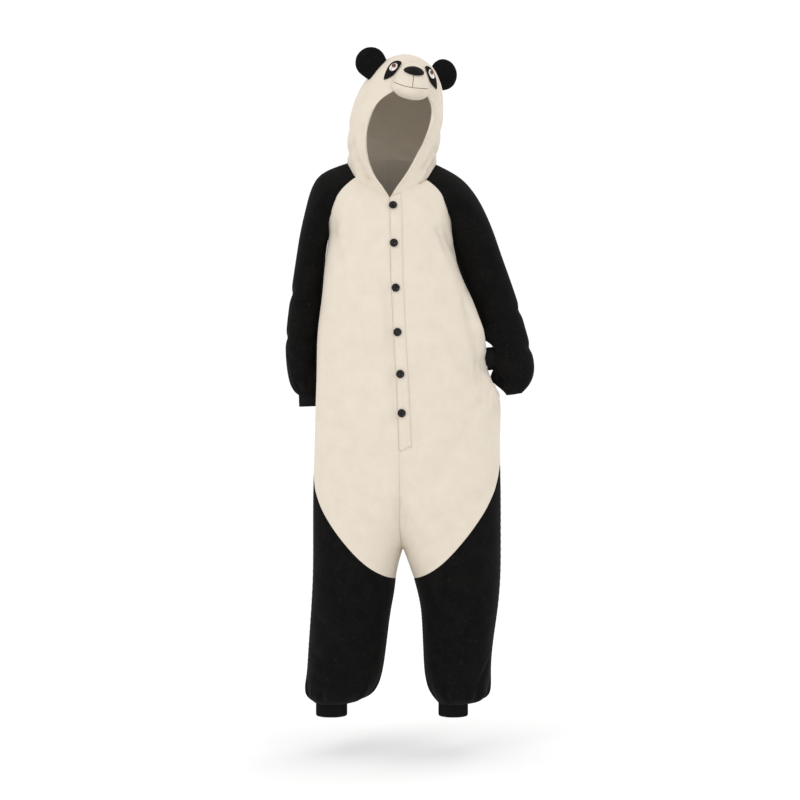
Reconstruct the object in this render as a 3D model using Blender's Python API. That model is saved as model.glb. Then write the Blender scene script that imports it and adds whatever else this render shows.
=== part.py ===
"""Panda costume: a hooded, buttoned one-piece of fleece, hollow and in the form it has when worn.

Metres, +Z up. The front faces -Y and +X is the wearer's left. The origin is between the shoulders, at the
base of the neck. Every cut piece is a wall of cloth made from a grid of points on its outer face, and
neighbours share seam points.
"""
import math
from collections import namedtuple

import bpy
import bmesh
from mathutils import Matrix, Vector
from mathutils.bvhtree import BVHTree

# Cloth, and how its walls meet at seams: limits on how far their normals may part
CLOTH = 0.003
SEAM_GAP = 0.0003
SHARP_SEAM = 0.25
MITRE_LIMIT = 1.5
MEETING = 0.6
NARROW_CORNER = 0.5
SMOOTH_SEAM = 0.95
KEY_STEPS = 1e5
SHADE_ANGLE = math.radians(50.0)

# Columns across each panel, and rows of the yoke above the underarm
PANEL_COLUMNS = 10
YOKE_ROWS = 7
SLEEVE_HALF = 8

# Form of the yoke and of the sleeve head
YOKE_NARROWS = 0.4
YOKE_BENDS = 0.2
ARMHOLE_HALF = 0.068
ROUND_HANDLE = 4.0 / 3.0
SLEEVE_SWELL = (0.015, 0.010, 0.010)
RIDGE_HANDLE = 0.020

# Levels of the body
UNDERARM_Z = -0.165
SPLIT_Z = -0.760
CROTCH_Z = -0.9475
INSEAM_Z = -1.020
LEG_END_Z = -1.332
LEVELS_ABOVE_SPLIT = (0.0, 0.09, 0.18, 0.27, 0.36, 0.44, 0.49, 0.535, 0.58, 0.63)
CROTCH_STEPS = 6
LEVELS_BELOW_CROTCH = (0.5, 1.0)
LEG_LEVELS = (0.0, 0.10, 0.22, 0.34, 0.46, 0.58, 0.69, 0.79, 0.87, 0.925, 0.962, 0.985, 1.0)
FULLNESS = 2.2

# Pocket slits in the side seams
POCKET_TOP = -0.425
POCKET_BOTTOM = -0.515
POCKET_OPEN = 0.007

# Gathers above the cuffs
GATHER_DEPTH = 0.004
GATHER_LENGTH = 0.075
GATHER_SLANT = 0.7

# Placket and buttons
PLACKET_WIDTH = 0.030
PLACKET_END_Z = -0.699
PLACKET_THICK = 0.002
PLACKET_TOP_DROP = 0.04
PLACKET_END_ROOM = 0.01
HALVINGS = 30
BUTTON_DIAMETER = 0.0205
BUTTON_THICK = 0.0035
BUTTON_HOLE = 0.0010
BUTTON_SIDES = 16
BUTTON_CLEAR = 0.0006
BUTTON_HOLE_SIDES = 6
BUTTON_HOLE_REACH = 0.24
BUTTON_FLOOR = 0.6
BUTTON_SHADE = math.radians(35.0)

# Outline of a button from its floor over the rim to its back: shares of its radius and of its thickness
ButtonRing = namedtuple("ButtonRing", "radius height")
BUTTON_RINGS = (
    ButtonRing(0.62, BUTTON_FLOOR),
    ButtonRing(0.72, 1.0),
    ButtonRing(0.90, 1.0),
    ButtonRing(1.0, BUTTON_FLOOR),
    ButtonRing(0.92, 0.0),
)

Button = namedtuple("Button", "z inset")
BUTTONS = (
    Button(-0.098, 0.0080),
    Button(-0.192, 0.0090),
    Button(-0.302, 0.0105),
    Button(-0.410, 0.0100),
    Button(-0.512, 0.0105),
    Button(-0.607, 0.0100),
)

# Head
HEAD_TURN = math.radians(11.0)
HEAD_ROLL = math.radians(8.5)

BodyLevel = namedtuple("BodyLevel", "z right left middle front back turn")
BODY = (
    BodyLevel(-0.165, -0.1575, 0.1500, -0.0040, 0.120, 0.105, 0.00),
    BodyLevel(-0.225, -0.1675, 0.1575, -0.0040, 0.128, 0.105, 0.00),
    BodyLevel(-0.325, -0.1750, 0.2010, 0.0040, 0.135, 0.102, 0.03),
    BodyLevel(-0.375, -0.1830, 0.2210, 0.0090, 0.137, 0.102, 0.05),
    BodyLevel(-0.425, -0.1870, 0.2270, 0.0140, 0.138, 0.104, 0.07),
    BodyLevel(-0.490, -0.1875, 0.2270, 0.0220, 0.140, 0.109, 0.10),
    BodyLevel(-0.525, -0.1875, 0.2480, 0.0280, 0.142, 0.112, 0.12),
    BodyLevel(-0.575, -0.1890, 0.2725, 0.0340, 0.142, 0.117, 0.15),
    BodyLevel(-0.700, -0.1925, 0.2700, 0.0360, 0.138, 0.124, 0.13),
    BodyLevel(-0.760, -0.1950, 0.2715, 0.0340, 0.135, 0.125, 0.12),
    BodyLevel(-0.825, -0.1975, 0.2725, 0.0320, 0.130, 0.125, 0.10),
    BodyLevel(-0.9475, -0.1975, 0.2725, 0.0275, 0.122, 0.122, 0.05),
)

LegLevel = namedtuple("LegLevel", "z right_out right_in left_in left_out depth turn")
LEGS = (
    LegLevel(-0.9475, -0.1975, 0.0275, 0.0275, 0.2725, 0.122, 0.05),
    LegLevel(-1.000, -0.1975, 0.0125, 0.0475, 0.2725, 0.120, 0.03),
    LegLevel(-1.050, -0.2000, 0.0075, 0.0625, 0.2700, 0.118, 0.01),
    LegLevel(-1.100, -0.2025, -0.0025, 0.0725, 0.2650, 0.116, 0.00),
    LegLevel(-1.200, -0.2100, -0.0150, 0.0775, 0.2500, 0.113, 0.00),
    LegLevel(-1.250, -0.2125, -0.0225, 0.0800, 0.2475, 0.110, 0.00),
    LegLevel(-1.290, -0.2150, -0.0400, 0.0900, 0.2435, 0.103, 0.00),
    LegLevel(-1.315, -0.2100, -0.0620, 0.1050, 0.2370, 0.088, 0.00),
    LegLevel(-1.328, -0.1985, -0.0970, 0.1130, 0.2165, 0.062, 0.00),
    LegLevel(-1.332, -0.1900, -0.1120, 0.1160, 0.1900, 0.044, 0.00),
)

# Height of the seam between body and leg, from the side seam (0) to the inseam (1)
LegSeam = namedtuple("LegSeam", "across z")
LEG_SEAM = (
    LegSeam(0.00, -0.735),
    LegSeam(0.15, -0.778),
    LegSeam(0.30, -0.852),
    LegSeam(0.45, -0.935),
    LegSeam(0.60, -0.985),
    LegSeam(0.80, -1.012),
    LegSeam(1.00, -1.020),
)

# Raglan seams, centre lines and sleeve ridge, from the underarm (up = 0) to the neck (up = 1)
Yoke = namedtuple("Yoke", "up front back ridge")
YOKE = {
    -1: (
        Yoke(0.00, (-0.1575, 0.000, -0.165), (-0.1575, 0.000, -0.165), (-0.2330, 0.012, -0.165)),
        Yoke(0.25, (-0.1570, -0.036, -0.138), (-0.1580, 0.036, -0.132), (-0.2180, 0.014, -0.100)),
        Yoke(0.50, (-0.1500, -0.062, -0.106), (-0.1500, 0.064, -0.090), (-0.2030, 0.016, -0.045)),
        Yoke(0.75, (-0.1310, -0.075, -0.062), (-0.1200, 0.085, -0.030), (-0.1780, 0.018, -0.006)),
        Yoke(1.00, (-0.0910, -0.054, -0.0245), (-0.0700, 0.088, 0.030), (-0.1125, 0.022, 0.020)),
    ),
    1: (
        Yoke(0.00, (0.1500, 0.000, -0.165), (0.1500, 0.000, -0.165), (0.2600, 0.012, -0.165)),
        Yoke(0.25, (0.1480, -0.036, -0.138), (0.1500, 0.036, -0.132), (0.2350, 0.014, -0.105)),
        Yoke(0.50, (0.1380, -0.062, -0.106), (0.1420, 0.064, -0.090), (0.2050, 0.016, -0.053)),
        Yoke(0.75, (0.1210, -0.075, -0.062), (0.1150, 0.085, -0.030), (0.1680, 0.018, -0.014)),
        Yoke(1.00, (0.0855, -0.054, -0.030), (0.0680, 0.088, 0.030), (0.1110, 0.022, 0.0165)),
    ),
}
CentreLine = namedtuple("CentreLine", "up front back")
CENTRE = (
    CentreLine(0.00, (-0.0040, -0.120, -0.165), (-0.0040, 0.105, -0.165)),
    CentreLine(0.50, (-0.0048, -0.110, -0.120), (-0.0040, 0.116, -0.065)),
    CentreLine(1.00, (-0.0053, -0.093, -0.078), (-0.0030, 0.102, 0.038)),
)

# Rings of each sleeve below the underarm: the inner and outer end of the ring, seen from the front
SleeveRing = namedtuple("SleeveRing", "in_x in_z out_x out_z y depth")
SLEEVES = {
    -1: (
        SleeveRing(-0.1670, -0.205, -0.2410, -0.215, 0.022, 0.067),
        SleeveRing(-0.1710, -0.270, -0.2510, -0.275, 0.035, 0.068),
        SleeveRing(-0.1740, -0.330, -0.2605, -0.335, 0.044, 0.068),
        SleeveRing(-0.1810, -0.390, -0.2680, -0.395, 0.047, 0.067),
        SleeveRing(-0.1850, -0.440, -0.2710, -0.445, 0.050, 0.066),
        SleeveRing(-0.1850, -0.485, -0.2680, -0.490, 0.053, 0.063),
        SleeveRing(-0.1830, -0.525, -0.2600, -0.528, 0.056, 0.056),
        SleeveRing(-0.1815, -0.550, -0.2490, -0.553, 0.059, 0.044),
        SleeveRing(-0.1790, -0.562, -0.2360, -0.564, 0.060, 0.031),
    ),
    1: (
        SleeveRing(0.1570, -0.205, 0.2760, -0.210, 0.030, 0.067),
        SleeveRing(0.1690, -0.255, 0.2970, -0.265, 0.038, 0.068),
        SleeveRing(0.1990, -0.320, 0.3210, -0.335, 0.040, 0.066),
        SleeveRing(0.2200, -0.375, 0.3360, -0.390, 0.034, 0.063),
        SleeveRing(0.2290, -0.406, 0.3510, -0.445, 0.024, 0.061),
        SleeveRing(0.2370, -0.419, 0.3610, -0.490, 0.014, 0.060),
        SleeveRing(0.2440, -0.428, 0.3540, -0.530, 0.006, 0.058),
        SleeveRing(0.2495, -0.434, 0.3260, -0.562, 0.000, 0.054),
        SleeveRing(0.2515, -0.4385, 0.2880, -0.565, 0.000, 0.046),
        SleeveRing(0.2525, -0.4425, 0.2570, -0.4995, 0.000, 0.029),
    ),
}

CUFF_RIBS = 22
CUFF_RIB_HEIGHT = 0.0008
WRIST_CUFF_LENGTH = {-1: 0.028, 1: 0.022}
ANKLE_CUFF_LENGTH = 0.030

# Edge of the face opening on each side, from the V of the neck to the top centre
FACE_EDGE = {
    -1: (
        (-0.0053, -0.093, -0.078),
        (-0.0300, -0.103, -0.047),
        (-0.0580, -0.107, -0.0096),
        (-0.0685, -0.107, 0.040),
        (-0.0660, -0.108, 0.0785),
        (-0.0585, -0.110, 0.122),
        (-0.0335, -0.115, 0.1594),
        (0.0021, -0.118, 0.182),
        (0.0470, -0.116, 0.196),
    ),
    1: (
        (-0.0053, -0.093, -0.078),
        (0.0190, -0.098, -0.047),
        (0.0460, -0.095, -0.0096),
        (0.0670, -0.088, 0.034),
        (0.0895, -0.080, 0.075),
        (0.1045, -0.078, 0.110),
        (0.1085, -0.082, 0.138),
        (0.0950, -0.093, 0.1715),
        (0.0470, -0.116, 0.196),
    ),
}
# Centre seam of the hood, from the top of the face opening to the centre back of the neck
HOOD_CREST = (
    (0.0470, -0.116, 0.196),
    (0.0500, -0.116, 0.243),
    (0.0440, -0.074, 0.284),
    (0.0330, 0.000, 0.302),
    (0.0160, 0.075, 0.284),
    (0.0010, 0.130, 0.230),
    (-0.0050, 0.146, 0.150),
    (-0.0050, 0.125, 0.085),
    (-0.0030, 0.102, 0.038),
)
HOOD_RISE = 0.134
HOOD_FLARE = {-1: 0.026, 1: 0.034}
HOOD_CROWN = {-1: 0.094, 1: 0.150}
HOOD_SLOPE = {-1: 0.05, 1: 0.15}
FACE_ARCS = 9
HOOD_EASE = 3
HOOD_SMOOTHING = 8
CREST_EVEN = 0.62
CREST_BUNCHED = 0.38
NAPE_START = 0.65

# Face of the animal, in the tilted frame of the head: across and up
HEAD_ORIGIN = (-0.004, 0.0, 0.020)
FACE_DEPTH = -0.030
EDGE_REACH = 0.006
EDGE_STEP = 0.001
EDGE_STEPS = 60
APPLIQUE_LIFT = 0.0006
FELT_GAP = 0.0009
SEAT_LIFT = 0.0010
MUZZLE_LIFT = 0.0028
FELT = 0.0014
PAD_BACK = 0.1
PAD_EDGE = 3.0
EYE_MIDDLE = 0.0055
EYE_PATCH = (
    (0.0670, 0.1830),
    (0.0655, 0.2000),
    (0.0610, 0.2150),
    (0.0545, 0.2280),
    (0.0450, 0.2365),
    (0.0360, 0.2375),
    (0.0300, 0.2325),
    (0.0345, 0.2200),
    (0.0415, 0.2070),
    (0.0480, 0.1950),
)
EYE_CENTRE = (0.0482, 0.2180)
EYE_WHITE = (0.0140, 0.0085)
PUPIL_RISE = 0.004
PUPIL = (0.0055, 0.0048)
EYE_LEAN = math.radians(60.0)
MUZZLE_CENTRE = (0.0038, 0.1820)
MUZZLE_HALF = (
    (0.0000, 0.1410),
    (0.0240, 0.1445),
    (0.0405, 0.1540),
    (0.0460, 0.1670),
    (0.0445, 0.1820),
    (0.0390, 0.1990),
    (0.0305, 0.2160),
    (0.0175, 0.2300),
    (0.0000, 0.2355),
)
MUZZLE_RINGS = (1.0, 0.94, 0.82, 0.62, 0.35)
MUZZLE_REACH = 0.040
MUZZLE_EDGE = 0.003
NOSE_CENTRE = (0.0005, 0.2065)
NOSE_HALF = (0.0255, 0.0125)
NOSE_LIFT = 0.0026
NOSE_EDGE = 0.0015
NOSE_PUFF = 0.004
NOSE_RINGS = (1.0, 0.75, 0.4)
PATCH_RINGS = (1.0, 0.7, 0.35)
WHITE_RINGS = (1.0, 0.5)
PUPIL_RINGS = (1.0,)
MUZZLE_SPAN_POINTS, PATCH_SPAN_POINTS = 3, 2
NOSE_POINTS, WHITE_POINTS, PUPIL_POINTS = 20, 14, 10
EAR_CENTRE = {-1: (-0.0900, -0.022, 0.2335), 1: (0.0975, -0.022, 0.2365)}
EAR_RADIUS = 0.039
EAR_FACING = math.radians(18.0)
EAR_OUTWARD = (0.79, 0.61)
EAR_HALF_THICK = 0.011
EAR_HOLLOW = 0.005
EAR_FULLNESS = 1.15
EAR_POINTS = 16
EAR_ROWS = (-0.0205, -0.010, 0.004, 0.017, 0.028, 0.0355)

# Broad folds of the fronts and backs: a line from one place to another, seen from the front
Fold = namedtuple("Fold", "side face x z end_x end_z width depth")
FOLDS = (
    Fold(1, -1, 0.150, -0.180, 0.232, -0.440, 0.030, 0.007),
    Fold(1, -1, 0.060, -0.900, 0.170, -0.800, 0.030, 0.005),
    Fold(-1, -1, -0.010, -0.880, -0.120, -0.790, 0.030, 0.005),
    Fold(-1, -1, -0.130, -0.190, -0.150, -0.330, 0.025, 0.005),
    Fold(-1, 1, -0.060, -0.860, -0.150, -0.760, 0.032, 0.006),
    Fold(1, 1, 0.080, -0.840, 0.190, -0.770, 0.032, 0.006),
    Fold(-1, 1, -0.060, -0.440, -0.150, -0.500, 0.030, 0.005),
    Fold(1, 1, 0.050, -0.470, 0.180, -0.430, 0.030, 0.005),
)

CREAM = (0.80, 0.72, 0.60)
BLACK = (0.012, 0.012, 0.013)
WHITE = (0.90, 0.88, 0.84)
BROWN = (0.16, 0.09, 0.06)
FLEECE_ROUGHNESS = 0.95
RIB_ROUGHNESS = 0.85
FELT_ROUGHNESS = 0.9
BUTTON_ROUGHNESS = 0.25


def clear_scene():
    """Start from a scene without objects."""
    for item in list(bpy.data.objects):
        bpy.data.objects.remove(item, do_unlink=True)


def material(name, colour, roughness):
    """A plain Principled material."""
    made = bpy.data.materials.new(name)
    made.use_nodes = True
    shader = made.node_tree.nodes["Principled BSDF"]
    shader.inputs["Base Color"].default_value = (*colour, 1.0)
    shader.inputs["Roughness"].default_value = roughness
    shader.inputs["Metallic"].default_value = 0.0
    return made


def between(knots, values, at):
    """Value at a place on a smooth curve through rising knots, which never overshoots them."""
    at = min(max(at, knots[0]), knots[-1])
    k = max(i for i in range(len(knots) - 1) if knots[i] <= at)
    rises = [(b - a) / (q - p) for a, b, p, q in zip(values, values[1:], knots, knots[1:])]
    slopes = [rises[0]]
    for before, after in zip(rises, rises[1:]):
        flat = before * after <= 0.0
        slopes.append(0.0 if flat else 2.0 * before * after / (before + after))
    slopes.append(rises[-1])
    step = knots[k + 1] - knots[k]
    t = (at - knots[k]) / step
    start = values[k] * (2 * t**3 - 3 * t**2 + 1) + slopes[k] * step * (t**3 - 2 * t**2 + t)
    return start + values[k + 1] * (3 * t**2 - 2 * t**3) + slopes[k + 1] * step * (t**3 - t**2)


def column(table, name, z):
    """Value of a named column of a table of levels that run downwards."""
    return between([-row.z for row in table], [getattr(row, name) for row in table], -z)


def place(table, name, up):
    """Point of a named column of a yoke table at a share of the way up."""
    ups = [row.up for row in table]
    return Vector([between(ups, [getattr(row, name)[axis] for row in table], up) for axis in range(3)])


def along(points, share):
    """Point at a share of the length of a smooth curve through the points."""
    points = [Vector(point) for point in points]
    knots = [0.0]
    for before, after in zip(points, points[1:]):
        knots.append(knots[-1] + (after - before).length)
    at = share * knots[-1]
    k = max(i for i in range(len(knots) - 1) if knots[i] <= at)
    slopes = []
    for i in range(len(points)):
        low, high = max(i - 1, 0), min(i + 1, len(points) - 1)
        slopes.append((points[high] - points[low]) / (knots[high] - knots[low]))
    step = knots[k + 1] - knots[k]
    t = (at - knots[k]) / step
    start = points[k] * (2 * t**3 - 3 * t**2 + 1) + slopes[k] * step * (t**3 - 2 * t**2 + t)
    return start + points[k + 1] * (3 * t**2 - 2 * t**3) + slopes[k + 1] * step * (t**3 - t**2)


def bezier(start, start_handle, end_handle, end, t):
    """Point of a cubic Bezier curve."""
    s = 1.0 - t
    return start * s**3 + start_handle * 3 * s * s * t + end_handle * 3 * s * t * t + end * t**3


def fuller(value):
    """Cosine or sine of an ellipse made a little squarer."""
    return math.copysign(abs(value) ** (2.0 / FULLNESS), value)


def leg_seam(across):
    """Height of the seam between body and leg."""
    return between([row.across for row in LEG_SEAM], [row.z for row in LEG_SEAM], across)


def half_section(side, z, face):
    """Outer end, inner end, depth, twist and split of half a body section at a height."""
    if z >= CROTCH_Z:
        out = column(BODY, "left" if side > 0 else "right", z)
        inner = column(BODY, "middle", z)
        depth = column(BODY, "back" if face > 0 else "front", z)
        split = min(max((SPLIT_Z - z) / (SPLIT_Z - CROTCH_Z), 0.0), 1.0)
        return out, inner, depth, column(BODY, "turn", z), split
    out = column(LEGS, "left_out" if side > 0 else "right_out", z)
    inner = column(LEGS, "left_in" if side > 0 else "right_in", z)
    return out, inner, column(LEGS, "depth", z), column(LEGS, "turn", z), 1.0


def body_point(side, face, across, z):
    """Point of the body or leg, across from the side seam (0) to the middle (1); side 1 left, face 1 back."""
    out, inner, depth, turn, split = half_section(side, z, face)
    half = abs(out - inner) / (1.0 + split)
    centre = inner + side * split * half
    end = math.acos(-(split ** (FULLNESS / 2.0)))
    even = math.pi / 2.0 * (1.0 + split * split * (3.0 - 2.0 * split))
    angle = across * even + across**5 * (end - even)
    y = face * depth * fuller(math.sin(angle))
    x = centre + side * half * fuller(math.cos(angle)) + turn * y
    return Vector((x, y, z))


def yoke_point(side, face, up, across):
    """Point of a front or back above the underarm, from the raglan seam (0) to the centre (1)."""
    name = "back" if face > 0 else "front"
    seam = place(YOKE[side], name, up)
    middle = place(CENTRE, name, up)
    wide = 1.0 - YOKE_NARROWS * up
    corner = Vector((
        middle.x + (seam.x - middle.x) * wide,
        middle.y + (seam.y - middle.y) * YOKE_BENDS * up,
        (seam.z + middle.z) / 2.0,
    ))
    angle = across * math.pi / 2.0
    reach = (corner - middle) * fuller(math.cos(angle))
    return seam + middle - corner + reach + (corner - seam) * fuller(math.sin(angle))


def lower_point(side, face, level, across):
    """Point of a front or back below the underarm (level 0) and above the leg seam (level 1)."""
    z = UNDERARM_Z + (leg_seam(across) - UNDERARM_Z) * level
    point = body_point(side, face, across, z)
    if across == 0.0 and POCKET_BOTTOM < z < POCKET_TOP:
        share = (z - POCKET_BOTTOM) / (POCKET_TOP - POCKET_BOTTOM)
        point.y += face * POCKET_OPEN * math.sin(math.pi * share)
    return point


def body_levels():
    """Levels of the rows below the underarm, closer together where the crotch turns."""
    levels = list(LEVELS_ABOVE_SPLIT)
    for k in range(CROTCH_STEPS + 1):
        z = SPLIT_Z - (SPLIT_Z - CROTCH_Z) * math.sin(math.pi / 2 * k / CROTCH_STEPS)
        levels.append((UNDERARM_Z - z) / (UNDERARM_Z - INSEAM_Z))
    crotch = levels[-1]
    return levels + [crotch + (1.0 - crotch) * part for part in LEVELS_BELOW_CROTCH]


def across_steps():
    """Shares across a panel."""
    return [j / PANEL_COLUMNS for j in range(PANEL_COLUMNS + 1)]


def panel_grid(side, face):
    """Front or back, rows from the neck down to the leg seam."""
    rows = []
    for k in range(YOKE_ROWS):
        up = 1.0 - k / YOKE_ROWS
        rows.append([yoke_point(side, face, up, across) for across in across_steps()])
    for level in body_levels():
        rows.append([lower_point(side, face, level, across) for across in across_steps()])
    return folded(side, face, rows)


def folded(side, face, rows):
    """Raise the broad folds of a front or back, with its seams and centre left in place."""
    normals = grid_normals(rows)
    last, end = len(rows) - 1, PANEL_COLUMNS
    for i, row in enumerate(rows):
        for j, point in enumerate(row):
            fade = min(1.0, i / 3, (last - i) / 3, j / 2, (end - j) / 3)
            height = sum(fold_height(fold, point) for fold in FOLDS if (fold.side, fold.face) == (side, face))
            row[j] = point + normals[i][j] * height * fade
    return rows


def fold_height(fold, point):
    """Height of one fold at a point."""
    start = Vector((fold.x, fold.z))
    run = Vector((fold.end_x, fold.end_z)) - start
    way = Vector((point.x, point.z)) - start
    share = min(max(way.dot(run) / run.length_squared, 0.0), 1.0)
    off = (way - run * share).length / fold.width
    return fold.depth * math.exp(-off * off)


def gather(height):
    """Depth of the gathers at a height above a cuff."""
    if not 0.0 < height < GATHER_LENGTH:
        return 0.0
    return GATHER_DEPTH * math.sin(math.pi * (height / GATHER_LENGTH) ** GATHER_SLANT)


def leg_grid(side, face):
    """Front or back of a trouser leg, rows from the seam down to the cuff."""
    rows = []
    for level in LEG_LEVELS:
        row = []
        for j, across in enumerate(across_steps()):
            seam = leg_seam(across)
            z = seam + (LEG_END_Z - seam) * level
            point = body_point(side, face, across, z)
            if z < CROTCH_Z:
                out, inner = half_section(side, z, face)[:2]
                outward = (point - Vector(((out + inner) / 2.0, 0.0, z))).normalized()
                point += outward * gather(z - LEG_END_Z) * (-1) ** j
            row.append(point)
        rows.append(row)
    return rows


def sleeve_row(inner_front, ridge, inner_back, front_handles, back_handles):
    """Row round a sleeve: seam or underarm, front, outer ridge, back, seam or underarm."""
    steps = [k / SLEEVE_HALF for k in range(SLEEVE_HALF + 1)]
    first, second = front_handles
    row = [bezier(inner_front, inner_front + first, ridge + second, ridge, t) for t in steps]
    first, second = back_handles
    row += [bezier(ridge, ridge + second, inner_back + first, inner_back, t) for t in steps[1:]]
    return row


def sleeve_grid(side):
    """Raglan sleeve, rows from the neck to the wrist."""
    round_handle = ROUND_HANDLE * ARMHOLE_HALF
    rows = []
    for k in range(YOKE_ROWS + 1):
        up = 1.0 - k / YOKE_ROWS
        ridge = place(YOKE[side], "ridge", up)
        ends = []
        handles = []
        for face, name in ((-1, "front"), (1, "back")):
            seam = place(YOKE[side], name, up)
            out, forward, rise = SLEEVE_SWELL
            swell = Vector((side * out, face * forward, rise)) * math.sin(math.pi * up)
            first = Vector((0, face * round_handle, 0)).lerp((ridge - seam) / 3.0, up) + swell
            second = Vector((0, face * (round_handle + (RIDGE_HANDLE - round_handle) * up), 0))
            ends.append(seam)
            handles.append((first, second))
        rows.append(sleeve_row(ends[0], ridge, ends[1], handles[0], handles[1]))
    wrist = SLEEVES[side][-1]
    for ring in SLEEVES[side]:
        inner = Vector((ring.in_x, ring.y, ring.in_z))
        outer = Vector((ring.out_x, ring.y, ring.out_z))
        pull = Vector((0, ROUND_HANDLE * ring.depth, 0))
        row = sleeve_row(inner, outer, inner, (-pull, -pull), (pull, pull))
        height = (Vector((wrist.out_x, wrist.y, wrist.out_z)) - outer).length
        centre = (inner + outer) / 2.0
        for j, point in enumerate(row):
            outward = (point - centre).normalized()
            row[j] = point + outward * gather(height) * (-1) ** j
        rows.append(row)
    return rows


def hood_grid(side, front_neck, sleeve_neck, back_neck):
    """Half of the hood: arcs from the neck seam up to the centre seam, from the face edge to the back."""
    starts = list(reversed(front_neck)) + sleeve_neck[1:]
    last = len(starts) - 1
    steps = across_steps()
    turn = Vector((math.cos(HEAD_TURN), math.sin(HEAD_TURN), -HOOD_SLOPE[side])) * side
    rows = []
    crests = []
    for i, start in enumerate(starts):
        q = i / last
        crest = along(HOOD_CREST, CREST_EVEN * q + CREST_BUNCHED * q**4)
        late = max(0.0, (q - NAPE_START) / (1.0 - NAPE_START)) ** 2
        third = (crest - start) / 3.0
        rise = Vector((side * HOOD_FLARE[side], 0.0, HOOD_RISE)).lerp(third, late)
        crown = (turn * HOOD_CROWN[side]).lerp(-third, late)
        crests.append(crest)
        rows.append([bezier(start, start + rise, crest + crown, crest, t) for t in steps])
    for j in range(len(steps)):
        shift = back_neck[j] - rows[last][j]
        for i in range(last - HOOD_EASE, last + 1):
            rows[i][j] += shift * (1.0 - (last - i) / (HOOD_EASE + 1))
    for j, t in enumerate(steps):
        edge = along(FACE_EDGE[side], t)
        side_point = rows[FACE_ARCS][j]
        leave = (rows[FACE_ARCS + 1][j] - side_point) * FACE_ARCS
        sweep = (side_point - edge) * 0.5 + leave * 0.5
        for i in range(FACE_ARCS):
            rows[i][j] = bezier(edge, edge + sweep / 3.0, side_point - leave / 3.0, side_point, i / FACE_ARCS)
    for i in range(1, FACE_ARCS):
        low = starts[i] - rows[i][0]
        high = crests[i] - rows[i][-1]
        for j in range(len(steps)):
            rows[i][j] += low * max(0.0, 1.0 - j / HOOD_EASE)
            rows[i][j] += high * max(0.0, 1.0 - (len(steps) - 1 - j) / HOOD_EASE)
    return rows


def smooth_hood(right, left):
    """Relax both halves of the hood as one cloth, with the neck and the face edge held."""
    whole = [a + list(reversed(b))[1:] for a, b in zip(right, left)]
    for _ in range(HOOD_SMOOTHING):
        before = [[p.copy() for p in row] for row in whole]
        for i in range(1, len(whole) - 1):
            for j in range(1, len(whole[i]) - 1):
                mean = (before[i - 1][j] + before[i + 1][j] + before[i][j - 1] + before[i][j + 1]) / 4.0
                whole[i][j] = before[i][j].lerp(mean, 0.5)
    middle = len(right[0])
    return [row[:middle] for row in whole], [list(reversed(row[middle - 1:])) for row in whole]


def grid_normals(grid):
    """Outward normals at the points of a grid."""
    normals = []
    for i, row in enumerate(grid):
        normals.append([])
        for j in range(len(row)):
            right = row[min(j + 1, len(row) - 1)] - row[max(j - 1, 0)]
            down = grid[min(i + 1, len(grid) - 1)][j] - grid[max(i - 1, 0)][j]
            normals[-1].append(right.cross(down).normalized())
    bottom, side = len(grid) - 1, len(grid[0]) - 1
    for i, near_i in ((0, 1), (bottom, bottom - 1)):
        for j, near_j in ((0, 1), (side, side - 1)):
            normals[i][j] = (normals[near_i][j] + normals[i][near_j]).normalized()
    points = [point for row in grid for point in row]
    centre = sum(points, Vector()) / len(points)
    facing = sum(n.dot(p - centre) for n, p in zip((n for row in normals for n in row), points))
    if facing < 0.0:
        normals = [[-n for n in row] for row in normals]
    return normals


def seam_key(point):
    """Name of a place, so that panels that share it find each other."""
    return tuple(round(value * KEY_STEPS) for value in point)


def edge_places(grid):
    """Indices along the four edges of a grid."""
    bottom, side = len(grid) - 1, len(grid[0]) - 1
    places = [(i, j) for i in range(bottom + 1) for j in range(side + 1)]
    return [(i, j) for i, j in places if i in (0, bottom) or j in (0, side)]


def seam_normals(patches):
    """Normals of all panels at each shared seam point."""
    shared = {}
    for patch in patches:
        for i, j in edge_places(patch["grid"]):
            shared.setdefault(seam_key(patch["grid"][i][j]), []).append(patch["normals"][i][j])
    return shared


def edge_shift(grid, i, j):
    """Direction from the edge of a grid into the panel, at right angles to the edge."""
    rows, columns = len(grid), len(grid[0])
    shift = Vector()
    here = grid[i][j]
    if i in (0, rows - 1) and j in (0, columns - 1):
        along_row = (grid[i][1 if j == 0 else columns - 2] - here).normalized()
        along_column = (grid[1 if i == 0 else rows - 2][j] - here).normalized()
        near = along_row.dot(along_column)
        if near > NARROW_CORNER:
            return (along_row + along_column).normalized() / math.sqrt((1.0 - near) / 2.0)
    if i in (0, rows - 1):
        inside = grid[1 if i == 0 else rows - 2][j] - here
        run = (grid[i][min(j + 1, columns - 1)] - grid[i][max(j - 1, 0)]).normalized()
        shift += (inside - run * inside.dot(run)).normalized()
    if j in (0, columns - 1):
        inside = grid[i][1 if j == 0 else columns - 2] - here
        run = (grid[min(i + 1, rows - 1)][j] - grid[max(i - 1, 0)][j]).normalized()
        shift += (inside - run * inside.dot(run)).normalized()
    return shift


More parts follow.
